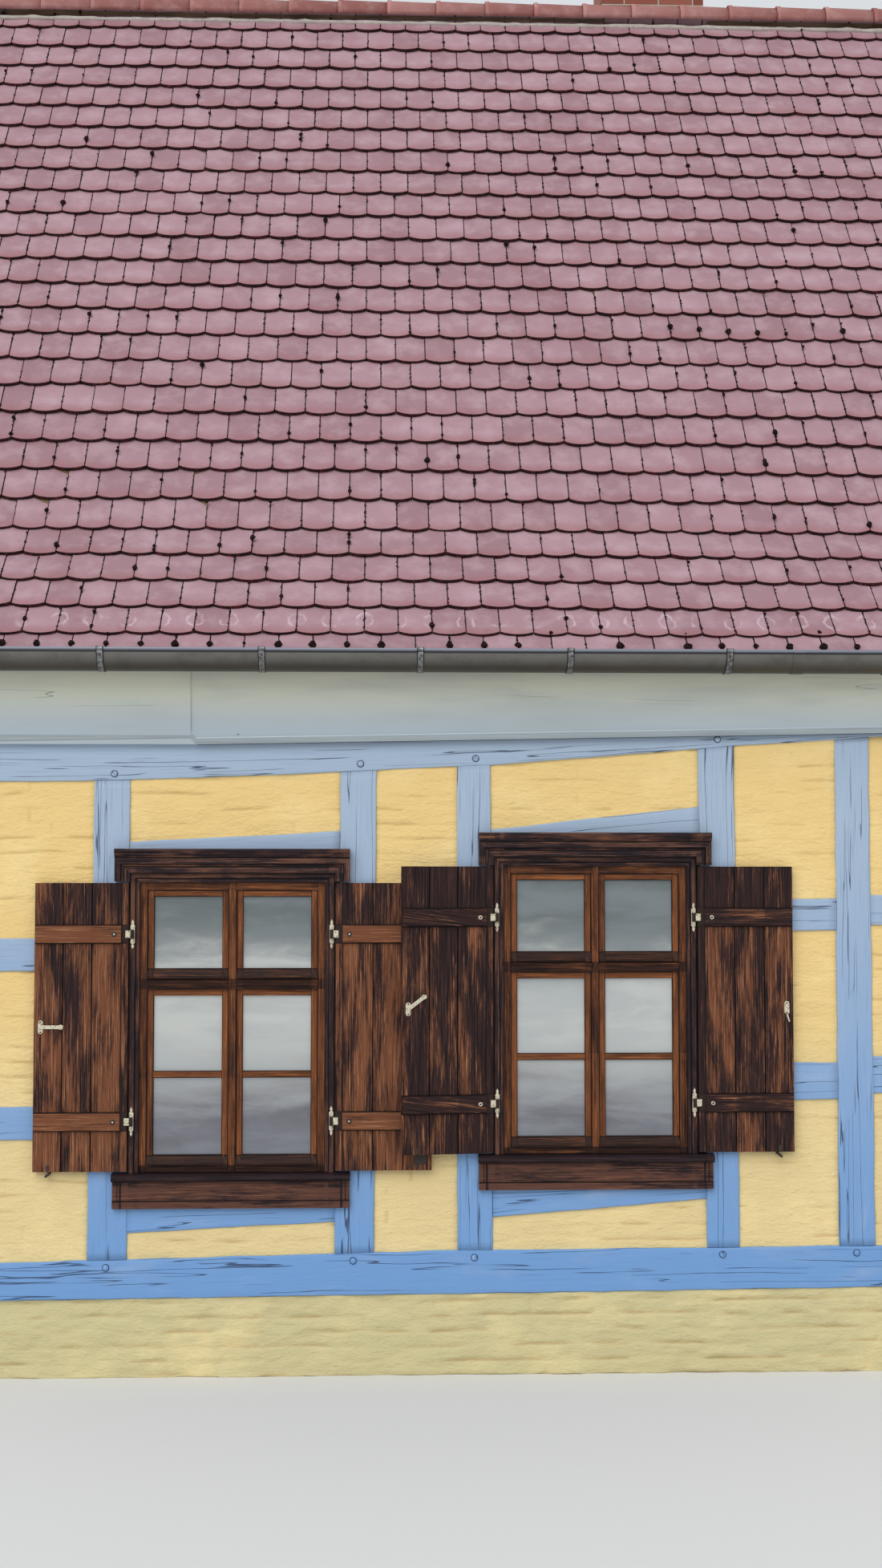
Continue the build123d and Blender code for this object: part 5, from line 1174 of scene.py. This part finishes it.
# Chimney: one stack of red brick laid in lime mortar, with a projecting cap course. It comes
# through the back slope.
def chimney_brick():
    """Lays red brick in pale mortar round the stack."""
    material, tree = new_finish("chimney_brick", 0.85, Specular_IOR_Level=0.25)
    place = split(tree, own_place(tree))
    course = wire(tree, "CombineXYZ", {"X": calculate(tree, "ADD", place["X"], place["Y"]),
                                       "Y": place["Z"]}).outputs["Vector"]
    bond = wire(tree, "TexBrick", {"Vector": course, "Scale": 1.0, "Mortar Size": 0.006,
                                   "Mortar Smooth": 0.3, "Brick Width": BRICK,
                                   "Row Height": COURSE, "Color1": colour(158, 96, 80),
                                   "Color2": colour(128, 70, 58),
                                   "Mortar": colour(176, 166, 152)}).outputs
    return coat(material, bond["Color"], bond["Fac"], -0.004)


dress("chimney", chimney_brick(), 0.003)


# Windows: stained pine frames, each with a mullion, a transom and four sashes, in a casing with
# shouldered ears, a crown, a nosed sill and an apron. The joiner's members are mapped one by one,
# so that the grain runs along each, and the stain is nearly black where water stands. Shade is
# painted into the joints, the apron's grooves, the transom's drip and the edge behind the
# shutters.
WINDOWS = ((np.array([-1.310, 0, 0]), np.array([1, 0, 0])),
           (np.array([0.582, 0, 0.086]), np.array([1, 0, 0])))
LIGHT_SIDES = (0.0205, 0.0545, 0.407, 0.441)
MULLION_EDGE, INNER_STILE, OUTER_STILE, JAMB_EDGE = LIGHT_SIDES
LIGHT_LEVELS = (1.082, 1.136, 1.530, 1.566, 1.989, 2.043, 2.097, 2.468, 2.502)
CASING_SIDES = (0.479, 0.501, 0.529, 0.562, 0.576)
CASING_LEVELS = (0.903, 1.005, 1.048, 2.541, 2.563, 2.591, 2.624, 2.638, 2.671)
APRON_TOP, SILL_TOP, MITRE_HEIGHT = CASING_LEVELS[1:4]
MITRE_REACH, LEAF_EDGE = CASING_SIDES[0], CASING_SIDES[2]
HEAD_START = 2.5
WEATHER_BARS = (1.109, 2.07)
TRANSOM_DRIP = 2.016
APRON_GROOVES = (0.569, 0.587)
# The height whose tone the whole back of a shutter leaf takes.
MID_LEAF = 1.8


def measured(points, starts):
    """Gives how far points lie across from the nearest start, and how high above it."""
    across = np.stack([(points - start) @ way for start, way in starts])
    height = np.stack([points[..., 2] - start[2] for start, way in starts])
    nearest = np.abs(across).argmin(axis=0)[None]
    return (np.take_along_axis(across, nearest, 0)[0], np.take_along_axis(height, nearest, 0)[0])


def joinery(node, starts, sides, levels, runs_level, darkness, finish, body="house",
            mitre=None, ends=False):
    """Copies a CAD node as jointed wood, cut at its members' edges and mapped along their grain.

    The cuts are upright planes beside each start, level ones above it, and two slanted ones
    through a mitre's inner corner. The first map holds metres along and across the grain, moved
    by chance for each member. The second holds the metres to the member's two long edges. The
    tone says how dark it is stained. On a leaf with ends the third map holds the metres to the
    member's two ends, and the leaf's back is mapped and toned as whole boards.
    """
    work = bmesh.new()
    work.from_mesh(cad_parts[node].data)
    bmesh.ops.remove_doubles(work, verts=work.verts, dist=0.00005)
    bmesh.ops.dissolve_limit(work, angle_limit=0.01, verts=work.verts, edges=work.edges)
    for start, way in starts:
        planes = [(start + side * way, way) for side in sides]
        planes += [(start + np.array([0, 0, level]), (0, 0, 1)) for level in levels]
        if mitre:
            planes += [(start + np.array([side * mitre[0], 0, mitre[1]]), (side, 0, -1))
                       for side in (-1, 1)]
        for place, normal in planes:
            bmesh.ops.bisect_plane(work, geom=[*work.verts, *work.edges, *work.faces],
                                   dist=0.00001, plane_co=place, plane_no=normal)
    mesh = bpy.data.meshes.new(node)
    work.to_mesh(mesh)
    work.free()
    corners = numbers_of(mesh.loops, "vertex_index", kind=np.int32)
    places = numbers_of(mesh.vertices, "co", 3)[corners]
    sizes = numbers_of(mesh.polygons, "loop_total", kind=np.int32)
    behind = (numbers_of(mesh.polygons, "normal", 3)[:, 1] > 0.7) & ends
    across, height = measured(places, starts)
    mid_across, mid_height = measured(numbers_of(mesh.polygons, "center", 3), starts)
    level = runs_level(mid_across, mid_height) & ~behind
    side_edges = np.array([mid_across.min() - 0.01, *sides, mid_across.max() + 0.01])
    level_edges = np.array([mid_height.min() - 0.01, *levels, mid_height.max() + 0.01])
    column = np.clip(np.searchsorted(side_edges, mid_across) - 1, 0, len(side_edges) - 2)
    row = np.clip(np.searchsorted(level_edges, mid_height) - 1, 0, len(level_edges) - 2)
    low = np.where(level, level_edges[row], side_edges[column])
    high = np.where(level, level_edges[row + 1], side_edges[column + 1])
    chance = np.random.default_rng(len(node) * 31 + len(mesh.vertices))
    member = np.where(level, 40 + row, column)
    moved = chance.uniform(0, 30, 80)[member]
    face = np.repeat(np.arange(len(sizes)), sizes)
    along = np.where(level[face], across, height) + moved[face]
    over = np.where(level[face], height, across)
    grain = np.stack([along, over + places[:, 1] + moved[face]], axis=-1)
    to_sides = np.stack([over - low[face], high[face] - over], axis=-1)
    to_ends = np.stack([height - level_edges[row][face], level_edges[row + 1][face] - height],
                       axis=-1)
    to_ends[level[face] | behind[face] | (not ends)] = 1.0
    for name, values in (("map", grain), ("member", to_sides), ("ends", to_ends)):
        mesh.uv_layers.new(name=name).data.foreach_set("uv", values.ravel())
    row[behind] = 3
    tone = darkness(mid_across, np.where(behind, MID_LEAF, mid_height)) + chance.uniform(
        -0.22, 0.22, 400)[column * 12 + row]
    mesh.attributes.new("tone", "FLOAT", "FACE").data.foreach_set(
        "value", tone.astype(np.float32))
    mesh.materials.append(finish)
    piece = stand(node + "_wood", mesh)
    wear_arrises(piece, 0.0016)
    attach(piece, body)
    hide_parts(node)


def stained_pine(name, light, middle, dark, deep, gloss, soft):
    """Stains pine: patches worn down to bright fibres, between dark ones with sound stain.

    A patch ends in streaks, because slow noise and the fibres' fine noise decide together where
    the stain is worn. The tone moves that limit, and soft is how gently it passes. Beside a
    member's long edges, and on a leaf beside its battens, the wood is nearly black: painted shade.
    """
    material, tree = new_finish(name, gloss, Specular_IOR_Level=0.14)
    grain = own_map(tree)
    tone = own_tone(tree)
    fibres = noise(tree, grain, (3.4, 150, 1), 8, 0.72, 0.3)
    patches = noise(tree, grain, (2.1, 11, 1), 7, 0.7, 0.2)
    limit = calculate(tree, "MULTIPLY_ADD", tone, 0.15, 0.455)
    wear = calculate(tree, "MULTIPLY_ADD", fibres, 0.38,
                     calculate(tree, "MULTIPLY", patches, 0.62))
    worn = fade(tree, calculate(tree, "SUBTRACT", wear, limit), 0.03 - soft, 0.03 + soft)
    bright = lay_over(tree, middle, light, fibres, 0.5, 0.74)
    sound = lay_over(tree, deep, dark, fibres, 0.38, 0.64)
    body = mix_colours(tree, worn, sound, bright)
    member, to_ends = [split(tree, own_map(tree, name)) for name in ("member", "ends")]
    edge = calculate(tree, "MINIMUM", calculate(tree, "MINIMUM", member["X"], member["Y"]),
                     calculate(tree, "MINIMUM", to_ends["X"], to_ends["Y"]))
    # Painted shade, nearly black, beside the members' edges and the battens' edges.
    joint_shaded = lay_over(tree, body, colour(14, 10, 12), edge, 0.0055, 0.001, 0.9)
    strap = lay_over(tree, joint_shaded, colour(50, 38, 34), tone, 1.4, 1.6)
    relief = calculate(tree, "ADD", fibres, calculate(tree, "MULTIPLY", worn, -0.5))
    return coat(material, strap, relief, 0.0014)


def near(values, places, reach):
    """Tells which values lie within reach of one of the places."""
    return np.abs(values[None] - np.array(places)[:, None]).min(axis=0) < reach


def between_stiles(across, height):
    """Tells where the sashes' rails and glazing bars run level, between their stiles."""
    return (np.abs(across) > INNER_STILE) & (np.abs(across) < OUTER_STILE)


def between_jambs(across, height):
    """Tells where the frame's head, foot and transom run level, beside the mullion."""
    return (np.abs(across) > MULLION_EDGE) & (np.abs(across) < JAMB_EDGE)


def past_mitre(across, height):
    """Tells where the casing runs level: its head past the mitre, crown, sill and apron."""
    head = (height > HEAD_START) & (height - MITRE_HEIGHT > np.abs(across) - MITRE_REACH)
    return head | (height < SILL_TOP)


def sash_darkness(across, height):
    """Darkens the sashes' weather bars."""
    return np.where(near(height, WEATHER_BARS, 0.027), 1.15, -0.25)


def frame_darkness(across, height):
    """Darkens the foot of the frame, and paints shade on the drip of its transom."""
    drip_shade = near(height, (TRANSOM_DRIP,), 0.028)
    return np.where(height < LIGHT_LEVELS[0], 1.2, np.where(drip_shade, 0.9, 0.15))


def casing_darkness(across, height):
    """Darkens the sill, and paints shade into the apron's grooves and onto the edge behind the
    open shutters.
    """
    reach = np.abs(across)
    shaded_behind_leaf = (height > SILL_TOP) & (height < HEAD_START) & (reach > LEAF_EDGE)
    sill = (height > APRON_TOP) & (height < SILL_TOP)
    shaded_groove = (height < APRON_TOP) & near(reach, APRON_GROOVES, 0.0041)
    return np.where(shaded_behind_leaf | sill | shaded_groove, 1.3, np.where(height < APRON_TOP, -0.25, 0.2))


light_sides = sorted(side * reach for reach in LIGHT_SIDES for side in (-1, 1))
casing_sides = sorted(side * reach for reach in CASING_SIDES for side in (-1, 1))
sash_finish = stained_pine("sash_stain", colour(186, 118, 66), colour(120, 70, 40),
                           colour(66, 39, 27), colour(22, 13, 14), 0.5, 0.15)
casing_finish = stained_pine("casing_stain", colour(146, 98, 70), colour(88, 58, 48),
                             colour(56, 39, 41), colour(24, 18, 23), 0.5, 0.06)
for node in ("left_window_sashes", "right_window_sashes", "back_window_sashes"):
    joinery(node, WINDOWS, light_sides, LIGHT_LEVELS, between_stiles, sash_darkness, sash_finish)
for node in ("left_window_frame", "right_window_frame", "back_window_frames"):
    joinery(node, WINDOWS, light_sides, LIGHT_LEVELS, between_jambs, frame_darkness, sash_finish)
for node in ("left_window_casing", "right_window_casing", "back_window_casings"):
    joinery(node, WINDOWS, casing_sides, CASING_LEVELS, past_mitre, casing_darkness,
            casing_finish, mitre=(MITRE_REACH, MITRE_HEIGHT))


def window_pane():
    """Makes window glass: a smooth, faintly wavy face, with a painted reflection of a bright day:
    greyish low down, pale in the middle and dark grey-green above, mottled by the waves.
    """
    material, tree = new_finish("window_pane", 0.03, Metallic=0.3, IOR=1.6)
    place = own_place(tree)
    waves = noise(tree, place, (1.6, 1, 7), 6, 0.6, 0.4)
    level = calculate(tree, "MULTIPLY_ADD", waves, 0.5,
                      calculate(tree, "SUBTRACT", split(tree, place)["Z"], 0.25))
    # A painted reflection: greyish low down, pale in the middle, dark grey-green above.
    ground = lay_over(tree, colour(112, 110, 118), colour(196, 198, 194), level, 1.25, 1.75)
    sky = lay_over(tree, ground, colour(104, 112, 112), level, 2.0, 2.35)
    mottled = lay_over(tree, sky, colour(150, 158, 164), waves, 0.35, 0.65, 0.35)
    return coat(material, mottled, noise(tree, place, 5.0, 2), 0.004)


pane_finish = window_pane()
for node in ("left_window_glass", "right_window_glass", "back_window_glass"):
    dress(node, pane_finish)

# Shutters: leaves of three V-jointed pine boards on two bevelled battens, hung on strap hinges.
# Weather has worn their stain off in streaks, most of it on the boards' bright fibres.
HINGES = (1.311, 2.275)
HALF_BATTEN = 0.047
BATTEN_START = 0.058
HINGE_LINE = -3.470
HINGE_GAP = 0.02
AJAR = np.radians(8)
# Each leaf: where its hinge line stands, how high, its way outwards, its width, body and stain.
LEAVES = {
    "left_window_left_shutter": (-1.825, 0.0, np.array([-1, 0, 0]), 0.483,
                                 "left_window_left_leaf", 0.02),
    "left_window_right_shutter": (-0.795, 0.0, np.array([1, 0, 0]), 0.501, "house", 0.06),
    "right_window_left_shutter": (0.067, 0.086, np.array([-np.cos(AJAR), -np.sin(AJAR), 0]),
                                  0.483, "right_window_left_leaf", 0.5),
    "right_window_right_shutter": (1.097, 0.086, np.array([1, 0, 0]), 0.501,
                                   "right_window_right_leaf", 0.42),
}


def on_batten(across, height):
    """Tells where a leaf's wood runs level: on its two battens, whose middles the hinges meet."""
    return near(height, HINGES, HALF_BATTEN) & (across > BATTEN_START)


def strap_tone(across, height, stain):
    """Tones a leaf's boards, darker over the upper batten, and marks its iron straps."""
    strap = near(height, HINGES, 0.039) & (across < BATTEN_START)
    batten = near(height, HINGES, HALF_BATTEN)
    wood = stain + np.where(height > HINGES[1] + HALF_BATTEN, 0.22, 0)
    return np.where(strap, 2.0, np.where(batten, 2.4 * stain - 0.45, wood))


shutter_finish = stained_pine("shutter_stain", colour(186, 132, 96), colour(112, 68, 45),
                              colour(62, 40, 37), colour(24, 15, 18), 0.6, 0.07)
for node, (hinge, rise, way, width, body, stain) in LEAVES.items():
    start = np.array([hinge, HINGE_LINE, rise])
    joints = (0.0195, BATTEN_START, HINGE_GAP + 0.39 * width, HINGE_GAP + 0.7 * width)
    joinery(node, [(start, way)], joints,
            [hinge_height + side * HALF_BATTEN for hinge_height in HINGES for side in (-1, 1)],
            on_batten, lambda across, height: strap_tone(across, height, stain),
            shutter_finish, body, ends=True)


# Shutter hardware: cream latch bars on screwed plates, round bolts through the battens, and small
# dark catches at the leaves' feet. Each piece rides on its leaf.
BOARD_FACE = -0.006
BATTEN_FACE = 0.012


def stadium(first, second, radius):
    """Outlines a bar with two round ends, anticlockwise, from the middle of one to the other."""
    first, second = np.array(first), np.array(second)
    heading = np.arctan2(second[1] - first[1], second[0] - first[0])
    turn = heading + np.radians(np.linspace(-90, 90, 7))
    end = radius * np.stack([np.cos(turn), np.sin(turn)], axis=-1)
    return np.concatenate([second + end, first - end])


def disc(across, height, radius):
    """Outlines a disc, as a bar whose two ends all but meet."""
    return stadium((across, height), (across + 0.001, height), radius)


def oblong(left, right, low, high):
    """Outlines an oblong plate, anticlockwise."""
    return np.array([(left, low), (right, low), (right, high), (left, high)])


def plate_on_leaf(leaf, outline, back, front, rim=0.0012):
    """Raises a plate with a rounded rim from its outline, out from a leaf's hinge line."""
    hinge, rise, way = LEAVES[leaf][:3]
    out = np.array([way[1], -way[0], 0.0])
    if out[1] > 0:
        out = -out
    if np.cross(way, (0, 0, 1)) @ out > 0:
        outline = outline[::-1]
    centre = outline.mean(axis=0)
    shrink = 1 - rim / np.abs(outline - centre).max(axis=0).min()
    sections = []
    for share, depth in ((1.0, back), (1.0, front - rim), (shrink, front)):
        ring = centre + (outline - centre) * share
        sections.append(np.array([hinge, HINGE_LINE, rise]) + ring[:, :1] * way + depth * out
                        + ring[:, 1:] * np.array([0, 0, 1]))
    return tube(np.array(sections), np.array([0.0, 0.01, 0.012]),
                np.linspace(0, 0.1, len(outline)))


def fittings(leaf, latch_height, latch_turn):
    """Gives a leaf's latch plate with its screws and bar, its bolts and its foot catch.

    The pale and the dark plates are listed with their outline, back, front and rim.
    """
    free = HINGE_GAP + LEAVES[leaf][3]
    latch = free - 0.034
    pale = [(stadium((latch, latch_height - 0.022), (latch, latch_height + 0.022), 0.013),
             BOARD_FACE, BOARD_FACE + 0.004)]
    dark = [(disc(free - 0.0345, height, 0.004), BOARD_FACE + 0.003, BOARD_FACE + 0.0055)
            for height in (latch_height - 0.026, latch_height + 0.026)]
    if latch_turn is not None:
        tip = (latch - 0.105 * np.cos(latch_turn), latch_height + 0.105 * np.sin(latch_turn))
        pale += [(stadium((latch, latch_height), tip, 0.0095), BOARD_FACE + 0.004,
                  BOARD_FACE + 0.009),
                 (disc(*tip, 0.013), BOARD_FACE + 0.003, BOARD_FACE + 0.012)]
    bolt = BATTEN_START + 0.034
    brass = leaf.startswith("right_window")
    # On the left window the small pale disc on each bolt is a painted highlight; on the right it
    # is a pale brass ring round a dark centre.
    for level in HINGES:
        pale += [(oblong(0.0095, 0.036, level - 0.0185, level + 0.0185), BOARD_FACE + 0.004,
                  BOARD_FACE + 0.013, 0.002),
                 (disc(bolt, level, 0.0105 if brass else 0.0045), BATTEN_FACE + 0.002,
                  BATTEN_FACE + 0.005, 0.001)]
        dark.append((disc(bolt, level, 0.013), BATTEN_FACE - 0.001, BATTEN_FACE + 0.003))
        if brass:
            dark.append((disc(bolt, level, 0.005), BATTEN_FACE + 0.004, BATTEN_FACE + 0.007))
    if leaf == "right_window_right_shutter":
        pale.append((stadium((free - 0.033, latch_height - 0.036),
                             (free - 0.022, latch_height - 0.070), 0.0035),
                     BOARD_FACE, BOARD_FACE + 0.006))
    dark.append((stadium((free - 0.077, 1.068), (free - 0.077, 1.084), 0.0085), BOARD_FACE,
                 BOARD_FACE + 0.006))
    if leaf == "left_window_right_shutter":
        dark.append((oblong(free - 0.094, free - 0.028, 1.085, 1.141), BOARD_FACE,
                     BOARD_FACE + 0.003, 0.002))
    return [[plate_on_leaf(leaf, *plate) for plate in plates] for plates in (pale, dark)]


def foot_hook(leaf):
    """Gives the hook in the wall that holds an open leaf by its foot."""
    free = HINGE_GAP + LEAVES[leaf][3]
    return plate_on_leaf(leaf, stadium((free - 0.070, 1.034), (free - 0.084, 1.045), 0.0065),
                         -0.05, BOARD_FACE + 0.010)


def cream_paint():
    """Paints iron cream, with rust breaking through in specks. The same cream makes the painted
    highlights on the left window's bolts.
    """
    material, tree = new_finish("cream_iron_and_highlights", 0.4, Specular_IOR_Level=0.5)
    rust = fade(tree, noise(tree, own_place(tree), 95, 4, 0.6), 0.52, 0.66)
    return coat(material, mix_colours(tree, rust, colour(206, 198, 174), colour(128, 108, 74)),
                rust, 0.0004)


def dark_iron():
    """Forges iron, dark with age and dull."""
    material, tree = new_finish("dark_iron", 0.6, Metallic=0.4)
    scale = noise(tree, own_place(tree), 80, 4, 0.6)
    return coat(material, mix_colours(tree, scale, colour(34, 30, 30), colour(72, 62, 56)), scale,
                0.0005)


iron_finish = cream_paint()
forged_finish = dark_iron()
dress("shutter_pintles", iron_finish)
for leaf, latch_height, latch_turn in (("left_window_left_shutter", 1.797, 0.0),
                                       ("left_window_right_shutter", 1.797, None),
                                       ("right_window_left_shutter", 1.803, np.radians(37)),
                                       ("right_window_right_shutter", 1.803, None)):
    pale_plates, dark_plates = fittings(leaf, latch_height, latch_turn)
    for name, plates, finish in ((leaf + "_latch", pale_plates, iron_finish),
                                 (leaf + "_bolts", dark_plates, forged_finish)):
        make_piece(name, plates, finish, LEAVES[leaf][4], smooth=False)
make_piece("shutter_hooks", [foot_hook("left_window_left_shutter"),
                             foot_hook("right_window_right_shutter")],
           forged_finish, smooth=False)

# Back door: seven V-jointed pine boards in a plain frame, stained like the windows. One block of
# grey stone lies before it as a step.
DOOR_START = (np.array([2.670, 3.430, 0.0]), np.array([1, 0, 0]))
DOOR_REACH = 0.51
DOOR_HEAD = 2.58
DOOR_BOARDS = [round(-DOOR_REACH + 2 * DOOR_REACH / 7 * number, 4) for number in range(1, 7)]


def over_door(across, height):
    """Tells where the wood runs level: in the frame's head, above the door's upright boards."""
    return height > DOOR_HEAD


joinery("back_door", [DOOR_START], DOOR_BOARDS, (), over_door,
        lambda across, height: 0.1 + 0 * across, shutter_finish)
joinery("back_door_frame", [DOOR_START], (-DOOR_REACH, DOOR_REACH), (DOOR_HEAD,), over_door,
        lambda across, height: 0.25 + 0 * across, shutter_finish)
dress("back_door_step", sawn_wood("step_stone", colour(150, 146, 136), colour(122, 118, 110)),
      0.006)

# Studio: a wide, pale floor, a soft sky and one broad lamp. The camera sees the house from the
# height and the distance of the photo.
FLOOR_REACH = 60


def pale_floor():
    """Paints the floor a plain pale grey."""
    return new_finish("pale_floor", 0.9, Specular_IOR_Level=0.1,
                      Base_Color=(0.72, 0.72, 0.71, 1))[0]


floor_mesh = bpy.data.meshes.new("floor")
floor_mesh.from_pydata([(-FLOOR_REACH, -FLOOR_REACH, 0), (FLOOR_REACH, -FLOOR_REACH, 0),
                        (FLOOR_REACH, FLOOR_REACH, 0), (-FLOOR_REACH, FLOOR_REACH, 0)],
                       [], [(0, 1, 2, 3)])
floor_mesh.materials.append(pale_floor())
stand("floor", floor_mesh)

world = bpy.data.worlds.new("soft_sky")
world.use_nodes = True
background = world.node_tree.nodes["Background"]
background.inputs["Color"].default_value = (0.93, 0.96, 1.0, 1)
background.inputs["Strength"].default_value = 0.75
bpy.context.scene.world = world

lamp = bpy.data.lights.new("soft_sun", "SUN")
lamp.energy = 1.5
lamp.angle = np.radians(50)
sun = stand("soft_sun", lamp)
sun.rotation_euler = (np.radians(48), 0, np.radians(-24))

camera_data = bpy.data.cameras.new("camera")
camera_data.lens = 44.2
camera_data.sensor_width = 36
camera = stand("camera", camera_data)
camera.location = (-0.577, -13.51, 2.53)
camera.rotation_euler = (np.radians(93), 0, np.radians(-2))
bpy.context.scene.camera = camera
